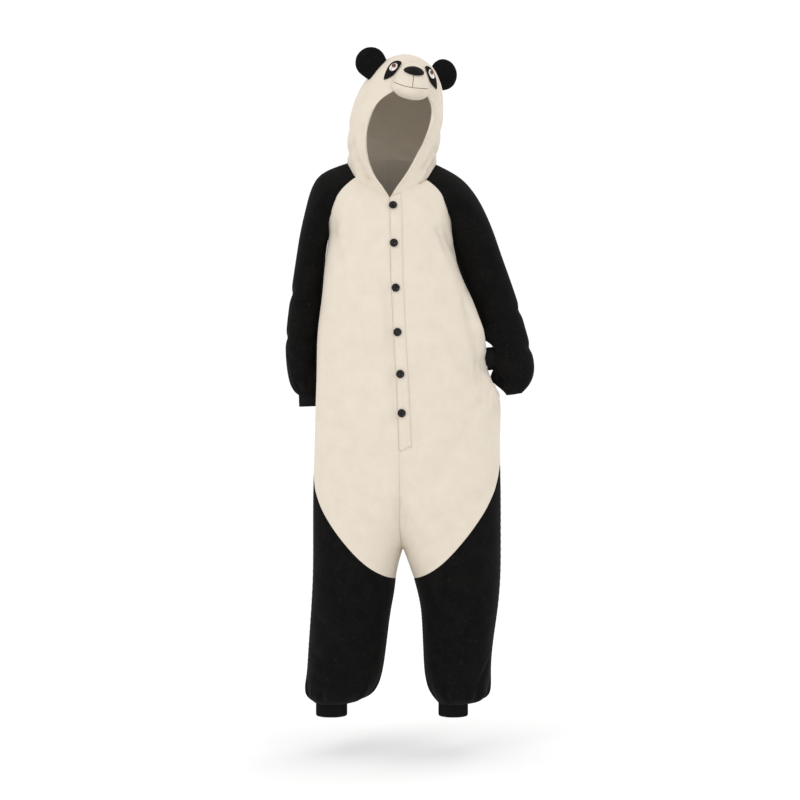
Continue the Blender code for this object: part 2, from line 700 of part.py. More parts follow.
def wall_points(patch, shared):
    """Outer and inner points of a cloth wall, pulled back from its seams."""
    grid, normals = patch["grid"], patch["normals"]
    outer = [list(row) for row in grid]
    inward = [[n * CLOTH for n in row] for row in normals]
    for i, j in edge_places(grid):
        own = normals[i][j]
        others = shared[seam_key(grid[i][j])]
        joint = sum((n for n in others if n.dot(own) > SHARP_SEAM), Vector()).normalized()
        inward[i][j] = joint * CLOTH * min(1.0 / joint.dot(own), MITRE_LIMIT)
        mean = sum(others, Vector()) / len(others)
        if len(others) > 3 and mean.length > MEETING:
            inward[i][j] = mean.normalized() * CLOTH
        outer[i][j] = grid[i][j] + edge_shift(grid, i, j) * SEAM_GAP / 2.0
        if min(n.dot(own) for n in others) < SMOOTH_SEAM:
            outer[i][j] -= own * SEAM_GAP / 2.0
    if "end_centre" in patch:
        for j, point in enumerate(grid[-1]):
            inward[-1][j] = (point - patch["end_centre"]).normalized() * CLOTH
    inner = [[p - n for p, n in zip(*pair)] for pair in zip(outer, inward)]
    return outer, inner


def closed_mesh(name, points, faces, made_of, collection):
    """Closed object from points and faces, with its faces pointing out."""
    mesh = bpy.data.meshes.new(name)
    mesh.from_pydata([tuple(point) for point in points], [], faces)
    shape = bmesh.new()
    shape.from_mesh(mesh)
    bmesh.ops.recalc_face_normals(shape, faces=shape.faces)
    shape.to_mesh(mesh)
    shape.free()
    mesh.shade_smooth()
    mesh.set_sharp_from_angle(angle=SHADE_ANGLE)
    made = bpy.data.objects.new(name, mesh)
    made.data.materials.append(made_of)
    collection.objects.link(made)
    return made


def wall(name, outer, inner, made_of, collection, ring=False):
    """Loft between an outer and an inner grid, closed round the rim; a ring also closes on itself."""
    rows, columns = len(outer), len(outer[0])
    points = [p for row in outer for p in row] + [p for row in inner for p in row]
    half = rows * columns
    spans = columns if ring else columns - 1
    faces = []
    for i in range(rows - 1):
        for j in range(spans):
            k = (j + 1) % columns
            a, b, c, d = i * columns + j, i * columns + k, (i + 1) * columns + k, (i + 1) * columns + j
            faces.append((a, b, c, d))
            faces.append((half + d, half + c, half + b, half + a))
    for j in range(spans):
        k = (j + 1) % columns
        faces.append((j, half + j, half + k, k))
        low = (rows - 1) * columns
        faces.append((low + k, half + low + k, half + low + j, low + j))
    if not ring:
        for i in range(rows - 1):
            a, b = i * columns, (i + 1) * columns
            faces.append((b, half + b, half + a, a))
            a, b = a + columns - 1, b + columns - 1
            faces.append((a, half + a, half + b, b))
    return closed_mesh(name, points, faces, made_of, collection)


def ribbed_cuff(name, centre, wide, deep, axis, length, made_of, collection):
    """Ribbed tube from an end ring along its axis, with ribs raised on its outer face."""
    count = 2 * CUFF_RIBS
    start = centre + axis * SEAM_GAP
    outer, inner = [], []
    for end in (0.0, length):
        outer.append([])
        inner.append([])
        for k in range(count):
            angle = 2.0 * math.pi * k / count
            ray = wide * math.cos(angle) + deep * math.sin(angle)
            out = ray.normalized()
            rib = CUFF_RIB_HEIGHT * (k % 2)
            outer[-1].append(start + axis * end + ray + out * rib)
            inner[-1].append(start + axis * end + ray - out * CLOTH)
    return wall(name, outer, inner, made_of, collection, ring=True)


def wrist_ring(side):
    """Centre, half width, half depth and direction of the end of a sleeve."""
    ring = SLEEVES[side][-1]
    inner = Vector((ring.in_x, ring.y, ring.in_z))
    outer = Vector((ring.out_x, ring.y, ring.out_z))
    wide = (inner - outer) / 2.0
    axis = wide.cross(Vector((0, 1, 0))).normalized()
    if axis.z > abs(axis.x) or side > 0 and axis.x > 0.0:
        axis = -axis
    return (inner + outer) / 2.0, wide, Vector((0, ring.depth, 0)), axis


def end_ring(side):
    """Centre, half width, half depth and direction of the end of a trouser leg."""
    out, inner, depth = half_section(side, LEG_END_Z, -1)[:3]
    middle = Vector(((out + inner) / 2.0, 0.0, LEG_END_Z))
    return middle, Vector((abs(out - inner) / 2.0, 0, 0)), Vector((0, depth, 0)), Vector((0, 0, -1))


def head_frame():
    """Frame of the head: turned and tilted on the neck."""
    turned = Matrix.Rotation(HEAD_TURN, 4, "Z") @ Matrix.Rotation(HEAD_ROLL, 4, "Y")
    return Matrix.Translation(HEAD_ORIGIN) @ turned


def surface_tree(objects):
    """Search tree of the faces of some objects."""
    points, faces = [], []
    for item in objects:
        first = len(points)
        points += [vertex.co.copy() for vertex in item.data.vertices]
        faces += [[first + k for k in polygon.vertices] for polygon in item.data.polygons]
    return BVHTree.FromPolygons(points, faces)


def front_depth(tree, across, up):
    """Place of the front of the head's pieces along the head's own Y, or nothing where they are open."""
    frame = head_frame()
    hit = tree.ray_cast(frame @ Vector((across, -1.0, up)), frame.to_3x3() @ Vector((0, 1, 0)))[0]
    if hit is None or (frame.inverted() @ hit).y > FACE_DEPTH:
        return None
    return (frame.inverted() @ hit).y


def on_front(tree, across, up):
    """Point on the front of the head's pieces; near and below the hood's edge, as far forward as the edge."""
    steps = (-EDGE_REACH, 0.0, EDGE_REACH)
    near_edge = front_depth(tree, across, up - EDGE_REACH) is None
    for rise in range(EDGE_STEPS):
        around = [(x, z) for x in steps for z in steps] if near_edge else [(0.0, 0.0)]
        depths = [front_depth(tree, across + x, up + rise * EDGE_STEP + z) for x, z in around]
        depths = [depth for depth in depths if depth is not None]
        if depths:
            return head_frame() @ Vector((across, min(depths), up))
    raise ValueError("the hood has no front here")


def pad(name, tree, outline, centre, rings, lift, thick, puff, made_of, collection):
    """Flat or padded piece on the front of the head, from its outline towards its centre."""
    frame = head_frame()
    ahead = frame.to_3x3() @ Vector((0, -1, 0))
    middle = on_front(tree, *centre)
    rim_depths = [(frame.inverted() @ on_front(tree, x, z)).y for x, z in outline]
    middle_depth = (frame.inverted() @ middle).y
    inner, outer = [], []
    for share in rings:
        swell = math.sqrt(max(0.0, 1.0 - share**PAD_EDGE))
        for (x, z), rim_depth in zip(outline, rim_depths):
            across = centre[0] + (x - centre[0]) * share
            up = centre[1] + (z - centre[1]) * share
            seat = on_front(tree, across, up)
            inner.append(seat + ahead * (lift + puff * PAD_BACK * swell))
            if puff > 0.0:
                depth = middle_depth + (rim_depth - middle_depth) * share**2
                seat = frame @ Vector((across, depth, up))
            outer.append(seat + ahead * (lift + thick + puff * swell))
    count, rows = len(outline), len(rings)
    points = inner + outer
    points += [middle + ahead * (lift + puff * PAD_BACK), middle + ahead * (lift + thick + puff)]
    half = rows * count
    faces = []
    for j in range(count):
        k = (j + 1) % count
        for level in range(2):
            for a in range(level * half, level * half + half - count, count):
                faces.append((a + j, a + k, a + count + k, a + count + j))
            low = level * half + half - count
            faces.append((low + j, low + k, 2 * half + level))
        faces.append((j, k, half + k, half + j))
    return closed_mesh(name, points, faces, made_of, collection)


def oval(centre, half, lean, count):
    """Points of an oval, leaning by an angle."""
    points = []
    for k in range(count):
        angle = 2.0 * math.pi * k / count
        x, z = half[0] * math.cos(angle), half[1] * math.sin(angle)
        points.append((
            centre[0] + x * math.cos(lean) - z * math.sin(lean),
            centre[1] + x * math.sin(lean) + z * math.cos(lean),
        ))
    return points


def rounded(points, per_span):
    """Closed smooth outline through a few points."""
    result = []
    count = len(points)
    for k in range(count):
        before, start, end, after = [Vector(points[(k + step) % count]) for step in (-1, 0, 1, 2)]
        for part in range(per_span):
            first = start + (end - before) / 6.0
            second = end - (after - start) / 6.0
            result.append(tuple(bezier(start, first, second, end, part / per_span)))
    return result


def seated(tree, origin, outward, lift):
    """Point off the hood, straight down from a point of the ear."""
    hit = tree.ray_cast(origin + outward * EAR_RADIUS, -outward)[0]
    return hit + outward * lift


def ear(name, side, tree, made_of, collection):
    """Padded round ear seated on the hood."""
    frame = head_frame()
    facing = Vector((side * math.sin(EAR_FACING), -math.cos(EAR_FACING), 0.0))
    outward = Vector((side * EAR_OUTWARD[0], 0.0, EAR_OUTWARD[1]))
    outward = (outward - facing * outward.dot(facing)).normalized()
    facing, outward, across = [frame.to_3x3() @ v for v in (facing, outward, facing.cross(outward))]
    centre = frame @ Vector(EAR_CENTRE[side])
    points = []
    for row in EAR_ROWS:
        wide = math.sqrt(EAR_RADIUS**2 - row**2)
        thick = EAR_HALF_THICK * min(1.0, wide / EAR_RADIUS * EAR_FULLNESS)
        for k in range(EAR_POINTS):
            angle = 2.0 * math.pi * k / EAR_POINTS
            point = centre + across * wide * math.cos(angle) + facing * thick * math.sin(angle)
            root = row == EAR_ROWS[0]
            points.append(seated(tree, point, outward, SEAT_LIFT) if root else point + outward * row)
    points.append(seated(tree, centre, outward, EAR_HOLLOW))
    points.append(centre + outward * EAR_RADIUS)
    faces = []
    top = (len(EAR_ROWS) - 1) * EAR_POINTS
    for k in range(EAR_POINTS):
        after = (k + 1) % EAR_POINTS
        for a in range(0, top, EAR_POINTS):
            b = a + EAR_POINTS
            faces.append((a + k, a + after, b + after, b + k))
        faces.append((top + k, top + after, len(points) - 1))
        faces.append((after, k, len(points) - 2))
    return closed_mesh(name, points, faces, made_of, collection)


def front_rows(side):
    """Row functions of a front and their heights at the centre line, from the neck down."""
    rows = []
    for k in range(YOKE_ROWS):
        up = 1.0 - k / YOKE_ROWS
        rows.append(lambda across, up=up: yoke_point(side, -1, up, across))
    for level in body_levels():
        rows.append(lambda across, level=level: lower_point(side, -1, level, across))
    return rows


def from_centre(row, distance):
    """Share across a front row at a distance from the centre line."""
    middle = row(1.0)
    low, high = 0.5, 1.0
    for _ in range(HALVINGS):
        across = (low + high) / 2.0
        if (row(across) - middle).length > distance:
            low = across
        else:
            high = across
    return (low + high) / 2.0


def placket(made_of, collection):
    """Button strip that lies on the left front along the centre line."""
    rows = front_rows(1)
    end_level = (UNDERARM_Z - PLACKET_END_Z) / (UNDERARM_Z - INSEAM_Z)
    kept = [row for row in rows if row(1.0).z > PLACKET_END_Z + PLACKET_END_ROOM]
    kept.append(lambda across: lower_point(1, -1, end_level, across))
    grid = []
    for row in kept:
        grid.append([row(from_centre(row, PLACKET_WIDTH * (3 - k) / 3.0)) for k in range(4)])
    grid[0] = [p.lerp(q, PLACKET_TOP_DROP) for p, q in zip(grid[0], grid[1])]
    normals = grid_normals(grid)
    for row in grid:
        row[-1].x += SEAM_GAP
    inner = [[p + n * APPLIQUE_LIFT for p, n in zip(*pair)] for pair in zip(grid, normals)]
    outer = [[p + n * PLACKET_THICK for p, n in zip(*pair)] for pair in zip(inner, normals)]
    return wall("placket", outer, inner, made_of, collection)


def circle(x, y, radius, height, count):
    """Points of a level circle."""
    angles = [2.0 * math.pi * k / count for k in range(count)]
    return [(x + radius * math.cos(a), y + radius * math.sin(a), height) for a in angles]


def button_mesh(made_of):
    """Four-hole button with a raised rim, its back on the level 0."""
    radius = BUTTON_DIAMETER / 2.0
    floor = BUTTON_FLOOR * BUTTON_THICK
    shape = bmesh.new()
    rims = []
    for ring in BUTTON_RINGS:
        points = circle(0, 0, ring.radius * radius, ring.height * BUTTON_THICK, BUTTON_SIDES)
        rims.append([shape.verts.new(point) for point in points])
    reach = BUTTON_HOLE_REACH * radius
    tops, bottoms = [rims[0]], [rims[-1]]
    for x, y in ((reach, reach), (-reach, reach), (-reach, -reach), (reach, -reach)):
        tops.append([shape.verts.new(p) for p in circle(x, y, BUTTON_HOLE, floor, BUTTON_HOLE_SIDES)])
        bottoms.append([shape.verts.new(p) for p in circle(x, y, BUTTON_HOLE, 0.0, BUTTON_HOLE_SIDES)])
    for upper, lower in list(zip(rims, rims[1:])) + list(zip(tops[1:], bottoms[1:])):
        for k in range(len(upper)):
            j = (k + 1) % len(upper)
            shape.faces.new((upper[k], upper[j], lower[j], lower[k]))
    for loops in (tops, bottoms):
        edges = [shape.edges.get((loop[k - 1], loop[k])) for loop in loops for k in range(len(loop))]
        bmesh.ops.triangle_fill(shape, use_beauty=True, edges=edges)
    bmesh.ops.recalc_face_normals(shape, faces=shape.faces)
    mesh = bpy.data.meshes.new("button")
    shape.to_mesh(mesh)
    shape.free()
    mesh.shade_smooth()
    mesh.set_sharp_from_angle(angle=BUTTON_SHADE)
    mesh.materials.append(made_of)
    return mesh


def button(name, spec, mesh, tree, collection):
    """Button that lies on the placket at its height."""
    up = (spec.z - UNDERARM_Z) / (CENTRE[-1].front[2] - UNDERARM_Z)
    level = (UNDERARM_Z - spec.z) / (UNDERARM_Z - INSEAM_Z)
    middle = yoke_point(1, -1, up, 1.0) if spec.z > UNDERARM_Z else lower_point(1, -1, level, 1.0)
    hit, normal = tree.ray_cast(Vector((middle.x + spec.inset, -1.0, spec.z)), Vector((0, 1, 0)))[:2]
    made = bpy.data.objects.new(name, mesh.copy())
    made.rotation_mode = "QUATERNION"
    made.rotation_quaternion = normal.to_track_quat("Z", "Y")
    made.location = hit + normal * BUTTON_CLEAR
    collection.objects.link(made)
    return made


def build():
    """Make every piece."""
    clear_scene()
    costume = bpy.data.collections.new("panda_costume")
    bpy.context.scene.collection.children.link(costume)
    cream = material("cream_fleece", CREAM, FLEECE_ROUGHNESS)
    black = material("black_fleece", BLACK, FLEECE_ROUGHNESS)
    rib = material("black_rib", BLACK, RIB_ROUGHNESS)

    names = {-1: "right", 1: "left"}
    patches = []
    hoods = {}
    for side, word in names.items():
        front = panel_grid(side, -1)
        back = panel_grid(side, 1)
        sleeve = sleeve_grid(side)
        hoods[side] = hood_grid(side, front[0], sleeve[0], back[0])
        leg_end = end_ring(side)[0]
        wrist_end = wrist_ring(side)[0]
        patches.append({"name": f"front_{word}", "grid": front, "made_of": cream})
        patches.append({"name": f"back_{word}", "grid": back, "made_of": cream})
        patches.append({"name": f"sleeve_{word}", "grid": sleeve, "made_of": black, "end_centre": wrist_end})
        for face, face_word in ((-1, "front"), (1, "back")):
            leg = {"name": f"leg_{face_word}_{word}", "grid": leg_grid(side, face), "made_of": black}
            leg["end_centre"] = leg_end
            patches.append(leg)
    for side, grid in zip((-1, 1), smooth_hood(hoods[-1], hoods[1])):
        patches.append({"name": f"hood_{names[side]}", "grid": grid, "made_of": cream})
    for patch in patches:
        patch["normals"] = grid_normals(patch["grid"])
    shared = seam_normals(patches)
    for patch in patches:
        outer, inner = wall_points(patch, shared)
        wall(patch["name"], outer, inner, patch["made_of"], costume)

    for side, word in names.items():
        middle, wide, deep, axis = wrist_ring(side)
        ribbed_cuff(f"wrist_cuff_{word}", middle, wide, deep, axis, WRIST_CUFF_LENGTH[side], rib, costume)
        middle, wide, deep, axis = end_ring(side)
        ribbed_cuff(f"ankle_cuff_{word}", middle, wide, deep, axis, ANKLE_CUFF_LENGTH, rib, costume)

    hood = surface_tree([costume.objects["hood_left"], costume.objects["hood_right"]])
    half = [(MUZZLE_CENTRE[0] + x, z) for x, z in MUZZLE_HALF]
    other = [(MUZZLE_CENTRE[0] - x, z) for x, z in reversed(MUZZLE_HALF[1:-1])]
    outline = rounded(half + other, MUZZLE_SPAN_POINTS)
    sizes = (MUZZLE_LIFT, MUZZLE_EDGE, MUZZLE_REACH)
    muzzle = pad("muzzle", hood, outline, MUZZLE_CENTRE, MUZZLE_RINGS, *sizes, cream, costume)
    outline = oval(NOSE_CENTRE, NOSE_HALF, 0.0, NOSE_POINTS)
    sizes = (NOSE_LIFT, NOSE_EDGE, NOSE_PUFF)
    pad("nose", surface_tree([muzzle]), outline, NOSE_CENTRE, NOSE_RINGS, *sizes, black, costume)
    white_felt = material("white_felt", WHITE, FELT_ROUGHNESS)
    brown_felt = material("brown_felt", BROWN, FELT_ROUGHNESS)
    step = FELT + FELT_GAP
    for side, word in names.items():
        ear(f"ear_{word}", side, hood, black, costume)
        eye = (EYE_MIDDLE + side * EYE_CENTRE[0], EYE_CENTRE[1])
        lean = EYE_LEAN if side < 0 else math.pi - EYE_LEAN
        patch = rounded([(EYE_MIDDLE + side * x, z) for x, z in EYE_PATCH], PATCH_SPAN_POINTS)
        pad(f"eye_patch_{word}", hood, patch, eye, PATCH_RINGS, SEAT_LIFT, FELT, 0.0, black, costume)
        white = oval(eye, EYE_WHITE, lean, WHITE_POINTS)
        lift = SEAT_LIFT + step
        pad(f"eye_white_{word}", hood, white, eye, WHITE_RINGS, lift, FELT, 0.0, white_felt, costume)
        eye = (eye[0], eye[1] + PUPIL_RISE)
        pupil = oval(eye, PUPIL, lean, PUPIL_POINTS)
        pad(f"pupil_{word}", hood, pupil, eye, PUPIL_RINGS, lift + step, FELT, 0.0, brown_felt, costume)

    strip = surface_tree([placket(cream, costume)])
    mesh = button_mesh(material("button_plastic", BLACK, BUTTON_ROUGHNESS))
    for k, spec in enumerate(BUTTONS):
        button(f"button_{k + 1}", spec, mesh, strip, costume)
    bpy.data.meshes.remove(mesh)


build()
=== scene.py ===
"""Looks of the hooded panda costume, built on its solids. Metres; +X is the wearer's left, -Y the front and Z up."""

import math
from collections import namedtuple

import bmesh
import bpy
import numpy as np
from mathutils import Matrix, Vector
from mathutils.bvhtree import BVHTree
from mathutils.kdtree import KDTree


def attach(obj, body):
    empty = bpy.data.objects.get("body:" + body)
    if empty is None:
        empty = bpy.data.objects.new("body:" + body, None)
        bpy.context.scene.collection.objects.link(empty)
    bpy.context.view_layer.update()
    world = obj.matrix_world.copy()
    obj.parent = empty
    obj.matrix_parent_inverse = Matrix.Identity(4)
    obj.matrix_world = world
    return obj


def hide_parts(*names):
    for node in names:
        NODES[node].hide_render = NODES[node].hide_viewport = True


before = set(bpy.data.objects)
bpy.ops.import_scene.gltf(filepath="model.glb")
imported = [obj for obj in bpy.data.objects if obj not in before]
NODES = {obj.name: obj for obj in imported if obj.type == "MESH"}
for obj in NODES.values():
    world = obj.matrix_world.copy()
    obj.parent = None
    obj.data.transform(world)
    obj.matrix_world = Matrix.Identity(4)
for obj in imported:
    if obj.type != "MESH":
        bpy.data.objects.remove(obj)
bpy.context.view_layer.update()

WELD = 1e-5
SHARP = math.radians(45.0)
TURNED = math.radians(40.0)
SIDES = ("left", "right")
MM = 0.001

# The camera stands five metres in front, level with the middle of the picture
CAMERA = Vector((0.020, -5.0, -0.575))
LENS = 90.0
FLOOR_Z = -1.452

# Materials


def new_material(name):
    """An empty Principled material with its tree and shader."""
    made = bpy.data.materials.new(name)
    made.use_nodes = True
    tree = made.node_tree
    return made, tree, tree.nodes["Principled BSDF"]


def noise(tree, place, scale, detail=2.0, rough=0.5):
    """Noise by object coordinates, in waves per metre."""
    node = tree.nodes.new("ShaderNodeTexNoise")
    node.inputs["Scale"].default_value = scale
    node.inputs["Detail"].default_value = detail
    node.inputs["Roughness"].default_value = rough
    tree.links.new(place.outputs["Object"], node.inputs["Vector"])
    return node.outputs["Fac"]


def ramp(tree, value, low, high, dark, light):
    """Colour from dark to light as value goes from low to high."""
    node = tree.nodes.new("ShaderNodeValToRGB")
    first, last = node.color_ramp.elements
    first.position, last.position = low, high
    first.color, last.color = (*dark, 1.0), (*light, 1.0)
    tree.links.new(value, node.inputs["Fac"])
    return node.outputs["Color"]


def cloth(name, dark, light, fleck_tone_and_glint, depth, sheen, tint, specular=0.05, tuft=520.0):
    """Napped cloth: short tufts, slow changes of tone and a sheen at grazing angles. Flecks over the tufts multiply
    the colour: the cream's are darker tufts, and the black fleece's, several times brighter, are painted highlights
    on the nap's tips.
    """
    made, tree, shader = new_material(name)
    place = tree.nodes.new("ShaderNodeTexCoord")
    tufts = noise(tree, place, tuft, 3.0, 0.65)
    tone = noise(tree, place, 26.0, 4.0, 0.6)
    base = ramp(tree, tone, 0.3, 0.7, dark, light)
    # flecks on the tufts: darker tufts on the cream, painted highlights of the nap on the black fleece
    tuft_tone_and_glints = ramp(tree, tufts, fleck_tone_and_glint[0], fleck_tone_and_glint[1], (1.0, 1.0, 1.0), fleck_tone_and_glint[2])
    mix = tree.nodes.new("ShaderNodeMix")
    mix.data_type = "RGBA"
    mix.blend_type = "MULTIPLY"
    mix.inputs[0].default_value = 1.0
    tree.links.new(base, mix.inputs["A"])
    tree.links.new(tuft_tone_and_glints, mix.inputs["B"])
    tree.links.new(mix.outputs["Result"], shader.inputs["Base Color"])
    bump = tree.nodes.new("ShaderNodeBump")
    bump.inputs["Strength"].default_value = 0.55
    bump.inputs["Distance"].default_value = depth
    tree.links.new(tufts, bump.inputs["Height"])
    tree.links.new(bump.outputs["Normal"], shader.inputs["Normal"])
    shader.inputs["Roughness"].default_value = 0.95
    shader.inputs["Specular IOR Level"].default_value = specular
    shader.inputs["Sheen Weight"].default_value = sheen
    shader.inputs["Sheen Roughness"].default_value = 0.5
    shader.inputs["Sheen Tint"].default_value = (*tint, 1.0)
    return made


def plain(name, colour, roughness, specular=0.3, grain=900.0, depth=0.0002):
    """An even finish with a fine grain."""
    made, tree, shader = new_material(name)
    place = tree.nodes.new("ShaderNodeTexCoord")
    fine = noise(tree, place, grain)
    low = tuple(0.86 * c for c in colour)
    tree.links.new(ramp(tree, fine, 0.35, 0.65, low, colour), shader.inputs["Base Color"])
    bump = tree.nodes.new("ShaderNodeBump")
    bump.inputs["Strength"].default_value = 0.4
    bump.inputs["Distance"].default_value = depth
    tree.links.new(fine, bump.inputs["Height"])
    tree.links.new(bump.outputs["Normal"], shader.inputs["Normal"])
    shader.inputs["Roughness"].default_value = roughness
    shader.inputs["Specular IOR Level"].default_value = specular
    return made


CREAM = cloth("cream_fleece", (0.692, 0.618, 0.518), (0.730, 0.660, 0.560), (0.55, 0.80, (0.93, 0.92, 0.90)),
              0.0011, 0.10, (1.0, 0.96, 0.9))
# the black fleece's flecks, up to six times its base colour, are painted highlights on the nap's tips
BLACK = cloth("black_fleece", (0.0044, 0.0043, 0.0043), (0.0070, 0.0067, 0.0065), (0.60, 0.74, (6.0, 5.2, 4.6)),
              0.0012, 0.022, (0.85, 0.82, 0.8), specular=0.03, tuft=340.0)
RIB = cloth("black_rib", (0.0060, 0.0060, 0.0062), (0.0085, 0.0085, 0.0085), (0.5, 0.8, (1.6, 1.6, 1.6)),
            0.0003, 0.05, (0.8, 0.8, 0.8), specular=0.08, tuft=1500.0)
BLACK_FELT = cloth("black_felt", (0.0070, 0.0068, 0.0068), (0.0100, 0.0096, 0.0094), (0.5, 0.8, (1.5, 1.5, 1.5)),
                   0.0003, 0.03, (0.8, 0.8, 0.8), tuft=1300.0)
WHITE_FELT = plain("white_felt", (0.86, 0.83, 0.78), 0.9, 0.1)
BROWN_FELT = plain("brown_felt", (0.150, 0.062, 0.034), 0.8, 0.2)
NOSE_PLUSH = cloth("black_plush", (0.0060, 0.0056, 0.0055), (0.0090, 0.0085, 0.0083), (0.5, 0.8, (1.7, 1.7, 1.7)),
                   0.0005, 0.06, (0.85, 0.8, 0.8), specular=0.12, tuft=1100.0)
BUTTON = plain("button_plastic", (0.0042, 0.0038, 0.0036), 0.24, 0.28, 60.0, 0.00005)
CREAM_THREAD = plain("cream_thread", (0.74, 0.67, 0.57), 0.8, 0.1)
BLACK_THREAD = plain("black_thread", (0.012, 0.011, 0.011), 0.6, 0.3)
BROWN_THREAD = plain("brown_thread", (0.120, 0.052, 0.034), 0.7, 0.2)

# Reading the solids


def welded(node):
    """A node's solid as an editable mesh, its triangles paired into quads."""
    made = bmesh.new()
    made.from_mesh(NODES[node].data)
    bmesh.ops.remove_doubles(made, verts=made.verts, dist=WELD)
    bmesh.ops.join_triangles(made, faces=made.faces, angle_face_threshold=TURNED, angle_shape_threshold=math.pi)
    return made


def is_sharp(edge):
    return len(edge.link_faces) == 2 and edge.calc_face_angle() > SHARP


def rims(node):
    """The lines where a wall ends, as ordered rows of points."""
    made = welded(node)
    ahead = {}
    for edge in made.edges:
        if is_sharp(edge):
            a, b = edge.verts
            ahead.setdefault(a.index, []).append(b.index)
            ahead.setdefault(b.index, []).append(a.index)
    made.verts.ensure_lookup_table()
    lines, used = [], set()
    for start in sorted(ahead):
        if start in used:
            continue
        line, here = [start], start
        used.add(start)
        while True:
            free = [k for k in ahead[here] if k not in used]
            if not free:
                break
            here = free[0]
            used.add(here)
            line.append(here)
        lines.append([made.verts[k].co.copy() for k in line])
    made.free()
    return lines


def rim_points(node):
    """Every point on a node's sharp edges, with the edges' middles."""
    made = welded(node)
    points = []
    for edge in made.edges:
        if is_sharp(edge):
            a, b = (v.co for v in edge.verts)
            points += [a.lerp(b, k / 4.0) for k in range(5)]
    made.free()
    return np.array(points)


def tree_of(nodes):
    """A search tree over several solids."""
    points, faces = [], []
    for node in nodes:
        made = welded(node)
        start = len(points)
        made.verts.ensure_lookup_table()
        points += [v.co.copy() for v in made.verts]
        faces += [[start + v.index for v in f.verts] for f in made.faces]
        made.free()
    return BVHTree.FromPolygons(points, faces)


def both(*bases):
    return [f"{base}_{side}" for base in bases for side in SIDES]


GROUPS = {
    "body": both("front", "back", "leg_front", "leg_back"),
    "hood": both("hood"),
    "sleeve_left": ["sleeve_left"],
    "sleeve_right": ["sleeve_right"],
}
TREES = {group: tree_of(nodes) for group, nodes in GROUPS.items()}

# Which way is out

Middle = namedtuple("Middle", "z x y wide deep")


def middle_line(nodes, step=0.04, above=None, below=None, part=None):
    """Middle and half sizes of these solids at even heights."""
    co = np.concatenate([np.array([v.co for v in NODES[n].data.vertices]) for n in nodes])
    if part:
        co = co[part(co)]
    rows = []
    low = co[:, 2].min() if below is None else below
    high = co[:, 2].max() if above is None else above
    for z in np.arange(low + step / 2, high, step):
        near = co[np.abs(co[:, 2] - z) < step]
        if len(near) < 4:
            continue
        lo, hi = near.min(0), near.max(0)
        rows.append((z, (lo[0] + hi[0]) / 2, (lo[1] + hi[1]) / 2, (hi[0] - lo[0]) / 2, (hi[1] - lo[1]) / 2))
    return Middle(*np.array(rows).T)


TRUNK = middle_line(both("front", "back"), below=-0.85, above=-0.10)
LIMBS = {
    "left": middle_line(["leg_front_left", "leg_back_left"], above=-0.98),
    "right": middle_line(["leg_front_right", "leg_back_right"], above=-0.98),
    "sleeve_left": middle_line(["sleeve_left"]),
    "sleeve_right": middle_line(["sleeve_right"]),
}
HIP_TOP, HIP_LOW = -0.80, -0.96
LEG_SPLIT = 0.0275
HEAD_MIDDLE = (0.012, 0.010, 0.130)


def round_from(middle, co):
    """Level directions away from a middle line, as on an oval."""
    x = np.interp(co[:, 2], middle.z, middle.x)
    y = np.interp(co[:, 2], middle.z, middle.y)
    wide = np.interp(co[:, 2], middle.z, middle.wide)
    deep = np.interp(co[:, 2], middle.z, middle.deep)
    out = np.stack([(co[:, 0] - x) / wide**2, (co[:, 1] - y) / deep**2, np.zeros(len(co))], axis=1)
    return out / np.maximum(np.linalg.norm(out, axis=1, keepdims=True), 1e-9)


def smooth_step(value, low, high):
    share = np.clip((value - low) / (high - low), 0.0, 1.0)
    return share * share * (3.0 - 2.0 * share)


def outward(group, co):
    """Unit directions out of the cloth's hollow."""
    if group in LIMBS:
        return round_from(LIMBS[group], co)
    if group == "hood":
        level = np.clip(co[:, 2], None, HEAD_MIDDLE[2])
        out = np.stack([co[:, 0] - HEAD_MIDDLE[0], co[:, 1] - HEAD_MIDDLE[1], co[:, 2] - level], axis=1)
        return out / np.maximum(np.linalg.norm(out, axis=1, keepdims=True), 1e-9)
    trunk = round_from(TRUNK, co)
    legs = np.where(co[:, :1] > LEG_SPLIT, round_from(LIMBS["left"], co), round_from(LIMBS["right"], co))
    share = smooth_step(-co[:, 2], -HIP_TOP, -HIP_LOW)[:, None]
    out = trunk * (1.0 - share) + legs * share
    return out / np.maximum(np.linalg.norm(out, axis=1, keepdims=True), 1e-9)


# Creases

# How far forward the forearm lies at the left cuff, in millimetres
POCKET_Y = float(np.interp(-0.47, LIMBS["sleeve_left"].z, LIMBS["sleeve_left"].y)) / MM

